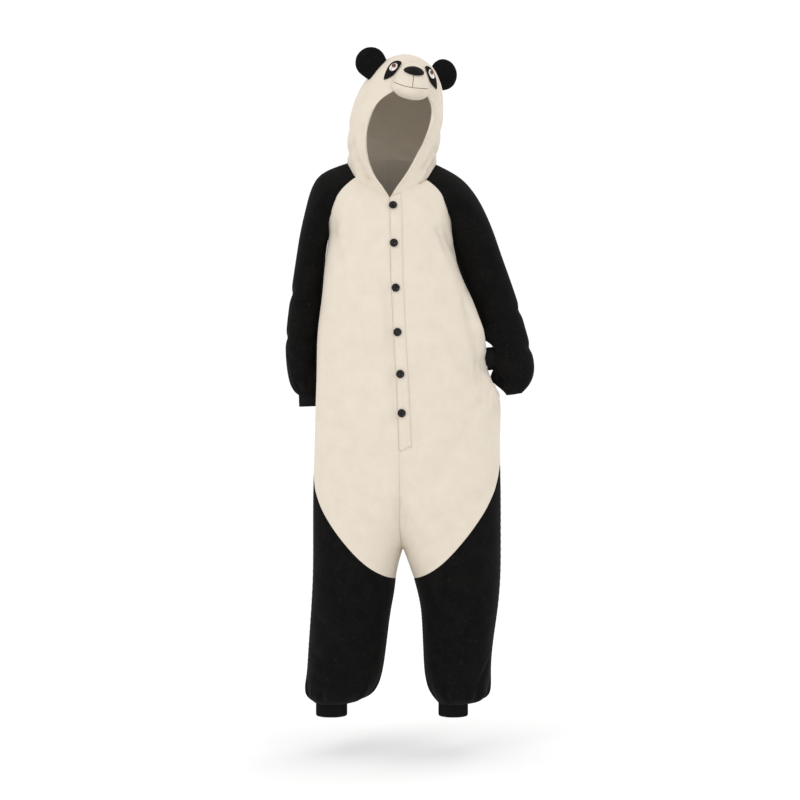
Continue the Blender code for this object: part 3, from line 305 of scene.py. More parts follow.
# The creases of each group by the view they are placed from, in millimetres: points across and up in that view,
# half width, and height above the cloth, below it if negative. The camera's points are where its line of sight
# crosses y = 0.
CREASES = {
    "body": (
        ("camera", (
            # the drape fold from the left armpit to the pocket
            (((120, -120), (150, -190), (178, -262), (200, -340)), 13, -8),
            (((98, -150), (128, -215), (160, -300), (190, -400)), 20, 5),
            (((168, -290), (190, -360), (208, -430), (222, -490)), 12, -6),
            (((105, -128), (122, -160), (140, -225)), 10, -4.5),
            # the side swells behind the drape fold and meets the sleeve
            (((206, -345), (218, -385), (224, -430), (228, -480), (232, -520)), 22, 10.5),
            (((222, -490), (236, -525), (254, -552), (262, -590)), 20, 12),
            # pull lines to the pocket and the bulge under it
            (((232, -515), (206, -545), (168, -566)), 12, -4),
            (((243, -560), (214, -592), (186, -606), (150, -610)), 10, -3.4),
            (((235, -470), (205, -490), (186, -530)), 9, -3),
            # short crinkles on the left hip
            (((146, -648), (162, -662), (170, -690)), 7, -2.6),
            (((166, -640), (184, -652), (196, -684)), 8, -3),
            (((192, -642), (206, -660), (212, -696)), 7, -2.2),
            # the belly hangs a little over the hips
            (((64, -672), (120, -690), (180, -706), (236, -700)), 26, -5),
            (((-168, -712), (-110, -738), (-50, -742)), 24, -4.5),
            # right chest and side
            (((-138, -75), (-146, -150), (-132, -230), (-112, -285)), 16, -4.6),
            (((-112, -108), (-104, -180), (-86, -236)), 14, -3),
            (((-160, -330), (-138, -372), (-100, -392)), 13, -3.2),
            (((-170, -470), (-140, -520), (-128, -590)), 15, -3.6),
            (((-75, -440), (-60, -505), (-66, -566)), 15, -2.8),
            (((-176, -610), (-150, -640), (-104, -652)), 12, -2.6),
            # the right front sinks beside the placket
            (((-14, -230), (-12, -330), (-4, -440), (2, -560), (8, -690)), 11, -6.2),
            (((-36, -400), (-30, -480), (-20, -580)), 14, 3.4),
            # between the legs
            (((16.5, -660), (18.5, -760), (19.5, -850), (23.5, -945)), 11.5, -12.5),
            (((50, -730), (48, -820), (60, -905)), 17, 4.4),
            (((-18, -750), (-18, -840), (-28, -920)), 16, 4),
            # pulls from the crotch over the thighs
            (((46, -945), (82, -900), (122, -868), (166, -858)), 11, -4.4),
            (((70, -960), (112, -930), (160, -922)), 10, -3.6),
            (((40, -900), (66, -858), (104, -834)), 9, -3),
            (((120, -880), (146, -905), (186, -906)), 7, -2.2),
            (((-12, -940), (-46, -890), (-86, -862), (-120, -858)), 11, -4.2),
            (((-26, -966), (-70, -930), (-112, -930)), 9, -3.2),
            (((-14, -876), (-34, -838), (-70, -812)), 9, -2.8),
            # black legs, front
            (((-188, -880), (-150, -960), (-112, -1000)), 13, -4.2),
            (((-196, -1010), (-150, -1050), (-90, -1062), (-40, -1048)), 14, -5.5),
            (((-50, -1010), (-90, -1080), (-140, -1100)), 12, -4),
            (((-200, -1110), (-160, -1150), (-110, -1156)), 13, -4.8),
            (((-30, -1110), (-70, -1160), (-120, -1190), (-170, -1192)), 14, -5.6),
            (((-205, -1200), (-170, -1235), (-120, -1240)), 12, -5),
            (((-34, -1205), (-70, -1246), (-110, -1262)), 10, -5),
            (((-206, -1262), (-160, -1290), (-120, -1294)), 9, -4.6),
            (((256, -900), (220, -960), (170, -990)), 13, -4.4),
            (((252, -1030), (210, -1064), (150, -1072), (96, -1052)), 14, -5.4),
            (((84, -1030), (120, -1100), (172, -1118)), 12, -4.2),
            (((86, -1120), (120, -1170), (166, -1186)), 13, -5),
            (((244, -1140), (206, -1176), (160, -1180)), 11, -4),
            (((246, -1222), (232, -1258), (214, -1292)), 9, -5.6),
            (((90, -1216), (128, -1250), (180, -1254)), 11, -4.8),
            (((100, -1272), (140, -1292), (190, -1290)), 8, -4.2),
        )),
        ("back", (
            # back, between the shoulders and over the seat
            (((-62, -60), (-40, -160), (-50, -270)), 18, -4.2),
            (((78, -50), (52, -150), (60, -250)), 17, -3.8),
            (((-150, -300), (-100, -360), (-36, -380)), 15, -4),
            (((170, -330), (124, -400), (50, -424)), 16, -4.4),
            (((-164, -420), (-112, -470), (-30, -482)), 14, -4),
            (((196, -470), (146, -520), (70, -530)), 14, -3.8),
            (((-156, -560), (-90, -590), (-20, -586)), 16, -3.4),
            (((230, -590), (170, -630), (90, -640)), 15, -4),
            (((16, -800), (-24, -760), (-90, -738)), 13, -4.6),
            (((30, -830), (72, -780), (136, -760)), 13, -4.4),
            (((18, -740), (22, -830), (26, -920)), 12, -7.8),
            (((46, -940), (92, -890), (150, -876)), 11, -4),
            (((0, -940), (-46, -886), (-110, -880)), 11, -4.2),
            (((-190, -950), (-140, -1020), (-80, -1040)), 14, -4.8),
            (((-20, -1060), (-70, -1090), (-140, -1080)), 12, -5),
            (((-190, -1120), (-130, -1150), (-60, -1140)), 13, -5.2),
            (((-40, -1200), (-96, -1226), (-170, -1214)), 12, -5),
            (((-196, -1268), (-140, -1284), (-86, -1276)), 9, -4.4),
            (((250, -940), (206, -1010), (150, -1030)), 14, -4.8),
            (((86, -1040), (130, -1082), (196, -1086)), 12, -4.8),
            (((246, -1130), (190, -1162), (120, -1150)), 13, -5),
            (((94, -1196), (150, -1228), (210, -1218)), 12, -4.8),
            (((230, -1272), (180, -1288), (130, -1280)), 9, -4),
        )),
    ),
    "sleeve_right": (
        ("camera", (
            (((-150, -50), (-168, -100), (-170, -150)), 12, -3.6),
            (((-160, -120), (-190, -170), (-214, -190)), 10, -3.8),
            (((-176, -190), (-200, -240), (-232, -262)), 12, -4.2),
            (((-180, -300), (-204, -330), (-244, -338)), 12, -5.2),
            (((-190, -352), (-216, -372), (-252, -366)), 9, -4),
            (((-188, -410), (-216, -430), (-256, -432)), 12, -4.6),
            (((-266, -462), (-244, -482), (-222, -486)), 9, -5.8),
            (((-244, -528), (-230, -556), (-218, -576)), 7, -5),
        )),
        ("back", (
            (((-110, -40), (-150, -100), (-190, -130)), 14, -4),
            (((-170, -160), (-200, -220), (-236, -240)), 12, -4.2),
            (((-180, -300), (-210, -320), (-250, -314)), 12, -5),
            (((-186, -370), (-216, -392), (-256, -388)), 10, -4.4),
            (((-190, -452), (-222, -474), (-260, -466)), 11, -4.8),
        )),
        ("right", (
            (((-20, -290), (40, -310), (90, -300)), 12, -4.4),
            (((0, -400), (50, -420), (100, -410)), 11, -4.4),
        )),
    ),
    "sleeve_left": (
        ("camera", (
            (((110, -20), (150, -80), (166, -140)), 14, -3.6),
            (((150, -130), (182, -160), (214, -158)), 10, -3.6),
            (((166, -200), (206, -236), (250, -240)), 12, -4.4),
            (((200, -292), (244, -316), (294, -306)), 12, -4.8),
            (((226, -348), (270, -366), (318, -352)), 11, -4.6),
            (((244, -392), (282, -412), (334, -404)), 11, -4.8),
            (((240, -436), (276, -470), (326, -478)), 10, -5),
            (((238, -462), (264, -512), (300, -534)), 9, -5),
            (((236, -480), (250, -520), (270, -552)), 8, -4),
        )),
        ("right", (
            # the slack of the forearm swells towards the pocket, above and below the cuff
            (((POCKET_Y - 45, -412), (POCKET_Y, -418), (POCKET_Y + 45, -412)), 18, 13),
            (((POCKET_Y - 45, -530), (POCKET_Y, -524), (POCKET_Y + 45, -532)), 24, 22),
        )),
        ("back", (
            (((120, -40), (160, -100), (200, -130)), 14, -4),
            (((170, -180), (214, -230), (260, -244)), 12, -4.4),
            (((210, -310), (256, -330), (304, -320)), 12, -5),
            (((236, -392), (286, -410), (334, -396)), 11, -4.6),
            (((246, -470), (290, -490), (332, -476)), 10, -4.6),
        )),
        ("left", (
            (((-30, -330), (20, -350), (70, -336)), 12, -4.4),
            (((-40, -430), (14, -444), (62, -430)), 11, -4.4),
        )),
    ),
    "hood": (
        ("camera", (
            # neck folds, the wearer's right
            (((-92, 28), (-74, -6), (-44, -46)), 7.5, -10.5),
            (((-116, 12), (-96, -22), (-64, -56)), 7, -9),
            (((-100, 80), (-96, 40), (-84, 6)), 10, -4),
            # neck folds, the wearer's left
            (((106, 24), (84, -22), (46, -70)), 8, -12),
            (((124, 4), (102, -28), (70, -58)), 7, -9),
            (((108, 62), (94, 22), (66, -14)), 8, -8),
            (((88, 4), (66, -30), (38, -56)), 6.5, 5.6),
        )),
        ("back", (
            # round the back of the neck
            (((-90, 30), (-30, 50), (30, 44)), 10, -5),
            (((100, 20), (50, 60), (0, 70)), 9, -4),
            (((-80, 100), (-40, 86), (10, 94)), 11, -3.6),
        )),
        ("left", (
            (((-60, 60), (0, 40), (60, 50)), 10, -4.4),
            (((-40, 120), (20, 100), (80, 110)), 12, -3.4),
        )),
        ("right", (
            (((-60, 60), (0, 44), (60, 54)), 10, -4.4),
            (((-50, 124), (10, 106), (70, 112)), 12, -3.4),
        )),
    ),
}
# Gathers above a cuff: the height where they are deepest, their reach up, pleats round the limb and their height
Gather = namedtuple("Gather", "limb z reach pleats high")
GATHERS = {
    "body": (Gather("left", -1.318, 0.055, (15, 22, 9), 0.0030), Gather("right", -1.318, 0.055, (14, 23, 8), 0.0030)),
    "sleeve_right": (Gather("sleeve_right", -0.556, 0.045, (11, 17, 7), 0.0022),),
    "sleeve_left": (),
    "hood": (),
}
GATHER_FROM, GATHER_FULL, GATHER_LEAN = 0.016, 0.012, 14.0
# Share of a crease's length over which it fades at each end
TAPER = 0.28
# Seams: depth and half width of the cloth's dip, the widest gap that counts as sewn, how far from a seam to another
# group and from a cuff the creases fade, how far rims overlap, and how many edges are tried for the nearest place
DITCH_DEPTH, DITCH_WIDE = 0.0009, 0.0042
SEAM_REACH, SEAM_FADE, CUFF_FADE, SEAM_LAP = 0.004, 0.016, 0.009, 0.0002
NEAR_EDGES = 6
STEPS = 5


def sight(view, across, up):
    """Where a line of sight starts and its direction."""
    if view == "camera":
        return CAMERA, (Vector((across, 0.0, up)) - CAMERA).normalized()
    if view == "back":
        return Vector((across, 1.0, up)), Vector((0.0, -1.0, 0.0))
    turned = 1.0 if view == "left" else -1.0
    return Vector((turned, across, up)), Vector((-turned, 0.0, 0.0))


def on_cloth(tree, view, across, up):
    """The first point of the cloth on a line of sight, or None."""
    start, way = sight(view, across, up)
    return tree.ray_cast(start, way)[0]


def spread(points, steps=STEPS):
    """A row of places with more of them between, on a smooth line."""
    rows = np.array(points, float)
    ends = np.concatenate([2 * rows[:1] - rows[1:2], rows, 2 * rows[-1:] - rows[-2:-1]])
    out = []
    for k in range(1, len(ends) - 2):
        a, b, c, d = ends[k - 1:k + 3]
        for t in np.arange(steps) / steps:
            out.append(0.5 * (2 * b + (c - a) * t + (2 * a - 5 * b + 4 * c - d) * t * t
                              + (3 * b - 3 * c + d - a) * t**3))
    out.append(rows[-1])
    return np.array(out)


def distance_along(co, path):
    """Distance of each point from a path, and the share of its length where the nearest place is."""
    lengths = np.linalg.norm(np.diff(path, axis=0), axis=1)
    before = np.concatenate([[0.0], np.cumsum(lengths)])
    best = np.full(len(co), 1e9)
    share = np.zeros(len(co))
    for k, length in enumerate(lengths):
        if length < 1e-9:
            continue
        way = (path[k + 1] - path[k]) / length
        t = np.clip((co - path[k]) @ way, 0.0, length)
        d = np.linalg.norm(co - path[k] - t[:, None] * way, axis=1)
        nearer = d < best
        best[nearer] = d[nearer]
        share[nearer] = (before[k] + t[nearer]) / before[-1]
    return best, share


def laid_creases(group):
    """The creases of a group as paths on its cloth."""
    found = []
    for view, rows in CREASES[group]:
        for points, wide, high in rows:
            hits = [on_cloth(TREES[group], view, *place) for place in spread(points) * MM]
            path = np.array([h for h in hits if h is not None])
            if len(path) > 3:
                found.append((path, wide * MM, high * MM))
    return found


PATHS = {group: laid_creases(group) for group in GROUPS}


def relief(group, co):
    """How far the creases and gathers lift the cloth at each point."""
    total = np.zeros(len(co))
    for path, wide, high in PATHS[group]:
        distance, share = distance_along(co, path)
        fade = smooth_step(np.minimum(share, 1.0 - share), 0.0, TAPER)
        total += high * fade * np.exp(-((distance / wide) ** 2))
    for gather in GATHERS[group]:
        middle = LIMBS[gather.limb]
        x = co[:, 0] - np.interp(co[:, 2], middle.z, middle.x)
        y = co[:, 1] - np.interp(co[:, 2], middle.z, middle.y)
        angle = np.arctan2(y, x)
        own = 1.0 if group != "body" else ((co[:, 0] > LEG_SPLIT) == (gather.limb == "left"))
        near = np.exp(-(((co[:, 2] - gather.z) / gather.reach) ** 2)) * own
        near = near * smooth_step(co[:, 2], gather.z - GATHER_FROM, gather.z + GATHER_FULL)
        first, second, third = gather.pleats
        lean = (co[:, 2] - gather.z) * GATHER_LEAN
        waves = (0.5 * np.cos(first * angle + lean) + 0.3 * np.cos(second * angle + 1.7 - 1.6 * lean)
                 + 0.45 * np.cos(third * angle + 0.6 + 0.7 * lean))
        total += gather.high * near * waves
    return total


# Points and places of a row that are compared at once
MANY, FEW = 4000, 400


def distance_to(co, line):
    """Distance of each point from the nearest point of a row."""
    nearest = np.full(len(co), 1e9)
    for start in range(0, len(co), MANY):
        part = co[start:start + MANY]
        best = np.full(len(part), 1e9)
        for k in range(0, len(line), FEW):
            gap = part[:, None, :] - line[None, k:k + FEW, :]
            best = np.minimum(best, np.sqrt((gap**2).sum(2)).min(1))
        nearest[start:start + MANY] = best
    return nearest


# Making pieces


def add_piece(name, mesh, material, smooth=True):
    """A new piece that rides on the costume's one body."""
    piece = bpy.data.objects.new(name, mesh)
    bpy.context.scene.collection.objects.link(piece)
    mesh.materials.clear()
    mesh.materials.append(material)
    for face in mesh.polygons:
        face.use_smooth = smooth
    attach(piece, "root")
    return piece


def smoothed(node, levels):
    """A node's solid, subdivided, its rims kept sharp."""
    made = welded(node)
    crease = made.edges.layers.float.new("crease_edge")
    for edge in made.edges:
        if is_sharp(edge):
            edge[crease] = 1.0
    mesh = bpy.data.meshes.new("cage")
    made.to_mesh(mesh)
    made.free()
    cage = bpy.data.objects.new("cage", mesh)
    bpy.context.scene.collection.objects.link(cage)
    fine = cage.modifiers.new("smooth", "SUBSURF")
    fine.levels = fine.render_levels = levels
    bpy.context.view_layer.update()
    ready = cage.evaluated_get(bpy.context.evaluated_depsgraph_get())
    out = bpy.data.meshes.new_from_object(ready)
    bpy.data.objects.remove(cage, do_unlink=True)
    bpy.data.meshes.remove(mesh)
    return out


def coordinates(mesh):
    co = np.empty(len(mesh.vertices) * 3)
    mesh.vertices.foreach_get("co", co)
    return co.reshape(-1, 3)


def set_coordinates(mesh, co):
    mesh.vertices.foreach_set("co", co.ravel())
    mesh.update()


CUFFS = both("wrist_cuff", "ankle_cuff")
RIM_LINES = {node: rim_points(node) for nodes in (*GROUPS.values(), CUFFS) for node in nodes}


def seam_line(node, partners):
    """The points on a node's rim that one of these other pieces is sewn to."""
    own = RIM_LINES[node]
    others = np.concatenate([RIM_LINES[name] for name in partners] or [np.zeros((0, 3))])
    lo, hi = own.min(0) - 0.01, own.max(0) + 0.01
    others = others[((others > lo) & (others < hi)).all(1)]
    if not len(others):
        return others
    return own[distance_to(own, others) < SEAM_REACH]


# Cut of each piece before sewing: width and length of the cloth, and its area
Cut = namedtuple("Cut", "node group levels wide long area held")
CUTS = (
    Cut("front_left", "body", 2, 0.34, 1.02, 0.250, "hung"),
    Cut("front_right", "body", 2, 0.31, 1.02, 0.232, "hung"),
    Cut("back_left", "body", 2, 0.31, 1.10, 0.239, "hung"),
    Cut("back_right", "body", 2, 0.31, 1.10, 0.238, "hung"),
    Cut("sleeve_left", "sleeve_left", 3, 0.44, 0.66, 0.207, "hung"),
    Cut("sleeve_right", "sleeve_right", 3, 0.40, 0.66, 0.189, "hung"),
    Cut("leg_front_left", "body", 3, 0.36, 0.64, 0.143, "hung"),
    Cut("leg_front_right", "body", 3, 0.36, 0.64, 0.145, "hung"),
    Cut("leg_back_left", "body", 3, 0.36, 0.64, 0.141, "hung"),
    Cut("leg_back_right", "body", 3, 0.36, 0.64, 0.146, "hung"),
    Cut("hood_left", "hood", 2, 0.30, 0.46, 0.093, "draped"),
    Cut("hood_right", "hood", 2, 0.30, 0.46, 0.098, "draped"),
)
BLACK_PARTS = ("sleeve", "leg")


def panel(cut):
    """One piece of the costume's cloth, with its creases."""
    mesh = smoothed(cut.node, cut.levels)
    co = coordinates(mesh)
    same = [name for name in GROUPS[cut.group] if name != cut.node]
    far = [name for name in RIM_LINES if name not in GROUPS[cut.group] and name not in CUFFS]
    fade = smooth_step(distance_to(co, seam_line(cut.node, far)), 0.0, SEAM_FADE)
    fade *= smooth_step(distance_to(co, seam_line(cut.node, CUFFS)), 0.0, CUFF_FADE)
    sink = DITCH_DEPTH * np.exp(-((distance_to(co, seam_line(cut.node, same + far)) / DITCH_WIDE) ** 2))
    lift = relief(cut.group, co) * fade - sink
    set_coordinates(mesh, co + outward(cut.group, co) * lift[:, None])
    black = cut.node.startswith(BLACK_PARTS)
    piece = add_piece(f"{cut.node}_cloth", mesh, BLACK if black else CREAM)
    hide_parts(cut.node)
    return piece


PANELS = {cut.node: panel(cut) for cut in CUTS}


def rim_edges(mesh):
    """The sharp edges of a finished piece as pairs of vertex numbers, marked so that they shade as folds."""
    made = bmesh.new()
    made.from_mesh(mesh)
    pairs = []
    for edge in made.edges:
        if is_sharp(edge):
            mesh.edges[edge.index].use_edge_sharp = True
            pairs.append((edge.verts[0].index, edge.verts[1].index))
    made.free()
    return np.array(pairs)


def close_seams():
    """Bring the rims of pieces that are sewn together onto one line."""
    shapes = {node: coordinates(piece.data) for node, piece in PANELS.items()}
    pairs = {node: rim_edges(piece.data) for node, piece in PANELS.items()}
    moved = {}
    for node, co in shapes.items():
        apart = {"front_left": "front_right", "front_right": "front_left"}.get(node)
        partners = [name for name in shapes if name not in (node, apart)]
        starts = np.concatenate([shapes[name][pairs[name][:, 0]] for name in partners])
        ends = np.concatenate([shapes[name][pairs[name][:, 1]] for name in partners])
        middles = KDTree(len(starts))
        for k, place in enumerate((starts + ends) / 2):
            middles.insert(place, k)
        middles.balance()
        new = co.copy()
        for v in np.unique(pairs[node]):
            best, goal = SEAM_REACH, None
            for k in [found[1] for found in middles.find_n(co[v], NEAR_EDGES)]:
                way = ends[k] - starts[k]
                t = np.clip((co[v] - starts[k]) @ way / max(way @ way, 1e-12), 0.0, 1.0)
                place = starts[k] + way * t
                gap = np.linalg.norm(place - co[v])
                if gap < best:
                    best, goal = gap, place
            if goal is not None and best > 1e-6:
                new[v] = co[v] + (goal - co[v]) * (0.5 + SEAM_LAP / max(best, SEAM_LAP))
        moved[node] = new
    for node, co in moved.items():
        set_coordinates(PANELS[node].data, co)


close_seams()

# Tubes and stitches


def tube_mesh(name, runs, radius, sides=6):
    """A mesh of round tubes with closed ends, one for each row of points."""
    points, faces = [], []
    for run in runs:
        run = [Vector(p) for p in run]
        first = len(points)
        side = None
        for k, here in enumerate(run):
            way = (run[min(k + 1, len(run) - 1)] - run[max(k - 1, 0)]).normalized()
            if side is None:
                side = way.orthogonal().normalized()
            side = (side - way * side.dot(way)).normalized()
            up = way.cross(side)
            for n in range(sides):
                a = math.tau * n / sides
                points.append(here + (side * math.cos(a) + up * math.sin(a)) * radius)
        for k in range(len(run) - 1):
            for n in range(sides):
                a, b = first + k * sides + n, first + k * sides + (n + 1) % sides
                faces.append((a, b, b + sides, a + sides))
        last = first + (len(run) - 1) * sides
        faces.append(tuple(range(first + sides - 1, first - 1, -1)))
        faces.append(tuple(range(last, last + sides)))
    mesh = bpy.data.meshes.new(name)
    mesh.from_pydata(points, [], faces)
    mesh.update()
    return mesh


def resampled(line, step):
    """Points at even steps along a line."""
    rows = np.array(line, float)
    lengths = np.concatenate([[0.0], np.cumsum(np.linalg.norm(np.diff(rows, axis=0), axis=1))])
    count = max(2, int(round(lengths[-1] / step)) + 1)
    at = np.linspace(0.0, lengths[-1], count)
    return np.stack([np.interp(at, lengths, rows[:, k]) for k in range(3)], axis=1)


STITCH_HEIGHTS = (-0.6, 0.7, 1.0, 1.0, 0.7, -0.6)
STITCH_STEPS = 8


def dashes(line, length, gap, rise):
    """Short stitches along a line: each rises from the cloth, lies on it and goes back in."""
    fine = resampled(line, (length + gap) / STITCH_STEPS)
    runs = []
    for k in range(0, len(fine) - STITCH_STEPS, STITCH_STEPS):
        runs.append([Vector(p) + rise * h for p, h in zip(fine[k:k + len(STITCH_HEIGHTS)], STITCH_HEIGHTS)])
    return runs


def shown_tree(pieces):
    """A search tree over finished pieces."""
    points, faces = [], []
    for piece in pieces:
        start = len(points)
        points += [v.co.copy() for v in piece.data.vertices]
        faces += [[start + k for k in f.vertices] for f in piece.data.polygons]
    return BVHTree.FromPolygons(points, faces)


# Ribbed cuffs


def cuff_rings(node):
    """The four end rings of a cuff as rows of points by angle: outer and inner at one end, then at the other."""
    made = welded(node)
    co = np.array([v.co for v in made.verts])
    made.free()
    middle = co.mean(0)
    axes = np.linalg.eigh(np.cov((co - middle).T))[1]
    axis, side = axes[:, 0], axes[:, 2]
    if axis[2] + 0.5 * axis[0] > 0:
        axis = -axis
    up = np.cross(axis, side)
    rings = []
    for end in (-1.0, 1.0):
        part = co[((co - middle) @ axis) * end > 0]
        centre = part.mean(0)
        angle = np.arctan2((part - centre) @ up, (part - centre) @ side)
        radius = np.linalg.norm(part - centre - np.outer((part - centre) @ axis, axis), axis=1)
        turn = np.abs((angle[:, None] - angle[None] + math.pi) % math.tau - math.pi)
        usual = np.array([np.median(radius[row < 0.3]) for row in turn])
        for keep in (radius > usual, radius <= usual):
            order = np.argsort(angle[keep])
            ring = part[keep][order]
            ring = (np.roll(ring, 1, 0) + 2 * ring + np.roll(ring, -1, 0)) / 4
            rings.append((angle[keep][order], ring))
    return rings


def around(ring, angles):
    """Points of a ring at other angles."""
    at, points = ring
    at = np.concatenate([at[-1:] - math.tau, at, at[:1] + math.tau])
    points = np.concatenate([points[-1:], points, points[:1]])
    return np.stack([np.interp(angles, at, points[:, k]) for k in range(3)], axis=1)


# Points across a rib, the rows of a cuff as shares of its height, how far the end inside the limb is drawn in and
# how full its wall still is at the free edge
RIB_STEPS = 6
CUFF_ROWS = (-0.08, 0.0, 0.12, 0.3, 0.5, 0.7, 0.88, 0.97, 1.0)
CUFF_TUCK = 0.0008
CUFF_EDGE = 0.35


def edge_bulge(share):
    """How full the fold of a cuff is, from 1 at the sewn end to 0 at its free edge."""
    return math.sqrt(max(0.0, 1.0 - max(0.0, 2 * share - 1) ** 8))


def cuff(node, ribs, high):
    """A ribbed knit cuff, folded at its free end."""
    rings = cuff_rings(node)
    count = ribs * RIB_STEPS
    angles = -math.pi + math.tau * np.arange(count) / count
    outer = [around(rings[k], angles) for k in (0, 2)]
    inner = [around(rings[k], angles) for k in (1, 3)]
    phase = np.cos(math.tau * np.arange(count) / RIB_STEPS)
    rows = []
    for share in CUFF_ROWS:
        mid = (outer[0] + inner[0]) / 2 * (1 - share) + (outer[1] + inner[1]) / 2 * share
        out = outer[0] * (1 - share) + outer[1] * share - mid
        bulge = edge_bulge(share)
        full = np.linalg.norm(out, axis=1, keepdims=True)
        size = full - (CUFF_TUCK if share < 0 else 0.0)
        ribbed = (size - high) * (CUFF_EDGE + (1 - CUFF_EDGE) * bulge) + high * bulge * phase[:, None]
        rows.append(mid + out / full * ribbed)
    for share in reversed(CUFF_ROWS):
        mid = (outer[0] + inner[0]) / 2 * (1 - share) + (outer[1] + inner[1]) / 2 * share
        back = inner[0] * (1 - share) + inner[1] * share - mid
        rows.append(mid + back * (CUFF_EDGE + (1 - CUFF_EDGE) * edge_bulge(share)))
    points = np.concatenate(rows)
    faces = []
    for r in range(len(rows)):
        a, b = r * count, (r + 1) % len(rows) * count
        for k in range(count):
            n = (k + 1) % count
            faces.append((a + k, a + n, b + n, b + k))
    mesh = bpy.data.meshes.new(node)
    mesh.from_pydata(points.tolist(), [], faces)
    mesh.update()
    fixed = bmesh.new()
    fixed.from_mesh(mesh)
    bmesh.ops.recalc_face_normals(fixed, faces=fixed.faces)
    fixed.to_mesh(mesh)
    fixed.free()
    piece = add_piece(f"{node}_rib", mesh, RIB)
    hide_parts(node)
    return piece


# Ribs and their height
cuff("ankle_cuff_left", 62, 0.0007)
cuff("ankle_cuff_right", 64, 0.0007)
cuff("wrist_cuff_left", 46, 0.0006)
cuff("wrist_cuff_right", 48, 0.0006)

# Head


def puffed(name, node, levels, material):
    """A padded piece with the form of its solid."""
    piece = add_piece(name, smoothed(node, levels), material)
    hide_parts(node)
    return piece


def flat_piece(name, node, material, size=1.0):
    """A thin piece of felt laid on the hood."""
    mesh = smoothed(node, 2)
    co = coordinates(mesh)
    set_coordinates(mesh, co.mean(0) + (co - co.mean(0)) * size)
    piece = add_piece(name, mesh, material)
    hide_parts(node)
    return piece


# The whites of the eyes leave more of the patch free than their solids
WHITE_SIZE = 0.90

for word in SIDES:
    puffed(f"ear_{word}_pad", f"ear_{word}", 3, BLACK)
    flat_piece(f"eye_patch_{word}_felt", f"eye_patch_{word}", BLACK_FELT)
    flat_piece(f"eye_white_{word}_felt", f"eye_white_{word}", WHITE_FELT,
               WHITE_SIZE)
    flat_piece(f"pupil_{word}_felt", f"pupil_{word}", BROWN_FELT)
MUZZLE = puffed("muzzle_pad", "muzzle", 2, CREAM)
puffed("nose_pad", "nose", 3, NOSE_PLUSH)

# Buttons

BUTTON_NODES = [f"button_{k}" for k in range(1, 7)]
HOLE_RADIUS = 0.00105
HOLE_OUT = 0.0023
HOLE_SIDES, BUTTON_SIDES = 14, 40
BUTTON_THICK = 0.0035
# A button's section from the middle of its face to its back: radius, and share of its thickness
BUTTON_RING = ((0.0045, 0.55), (0.0060, 0.62), (0.0072, 0.92), (0.0084, 1.0), (0.0096, 0.86), (0.01015, 0.55),
               (0.01015, 0.25), (0.0095, 0.0))
# A strand of its thread from hole to hole: share of the way and height; half the gap between strands; their radius
STRAND = ((0.0, -0.0008), (0.12, -0.0021), (0.5, -0.0024), (0.88, -0.0021), (1.0, -0.0008))
STRAND_APART, STRAND_RADIUS = 0.00035, 0.00030
BUTTON_TURN = 0.12


def hole_place(k):
    """The middle of one of a button's four holes."""
    a = math.tau * (k + 0.5) / 4
    return Vector((HOLE_OUT * math.cos(a), 0.0, HOLE_OUT * math.sin(a)))


def button_body(thick):
    """A dished button with a raised rim and four holes, facing -Y."""
    made = bmesh.new()
    rows = []
    for radius, height in BUTTON_RING:
        rows.append([made.verts.new((radius * math.cos(a), -height * thick, radius * math.sin(a)))
                     for a in np.arange(BUTTON_SIDES) * math.tau / BUTTON_SIDES])
    for low, high in zip(rows, rows[1:]):
        for k in range(BUTTON_SIDES):
            n = (k + 1) % BUTTON_SIDES
            made.faces.new((low[k], low[n], high[n], high[k]))
    made.faces.new(rows[0])
    made.faces.new(rows[-1])
    bmesh.ops.recalc_face_normals(made, faces=made.faces)
    mesh = bpy.data.meshes.new("button")
    made.to_mesh(mesh)
    made.free()
    body = bpy.data.objects.new("button", mesh)
    bpy.context.scene.collection.objects.link(body)
    drills = bmesh.new()
    for k in range(4):
        a = math.tau * (k + 0.5) / 4
        ring = [[drills.verts.new((HOLE_OUT * math.cos(a) + HOLE_RADIUS * math.cos(b), y,
                                   HOLE_OUT * math.sin(a) + HOLE_RADIUS * math.sin(b)))
                 for b in np.arange(HOLE_SIDES) * math.tau / HOLE_SIDES] for y in (-0.01, 0.01)]
        for n in range(HOLE_SIDES):
            m = (n + 1) % HOLE_SIDES
            drills.faces.new((ring[0][n], ring[0][m], ring[1][m], ring[1][n]))
        drills.faces.new(ring[0])
        drills.faces.new(ring[1])
    bmesh.ops.recalc_face_normals(drills, faces=drills.faces)
    cutters = bpy.data.meshes.new("drills")
    drills.to_mesh(cutters)
    drills.free()
    tool = bpy.data.objects.new("drills", cutters)
    bpy.context.scene.collection.objects.link(tool)
    cut = body.modifiers.new("holes", "BOOLEAN")
    cut.operation, cut.solver, cut.object = "DIFFERENCE", "EXACT", tool
    bpy.context.view_layer.update()
    out = bpy.data.meshes.new_from_object(body.evaluated_get(bpy.context.evaluated_depsgraph_get()))
    for item in (body, tool):
        bpy.data.objects.remove(item, do_unlink=True)
    return out


def button_place(node):
    """Centre of a button's back and its facing direction, from its solid."""
    co = np.array([v.co for v in NODES[node].data.vertices])
    middle = co.mean(0)
    axes = np.linalg.eigh(np.cov((co - middle).T))[1]
    facing = Vector(axes[:, 0])
    if facing.y > 0:
        facing = -facing
    reach = (co - middle) @ np.array(facing)
    return Vector(middle) + facing * reach.min(), facing


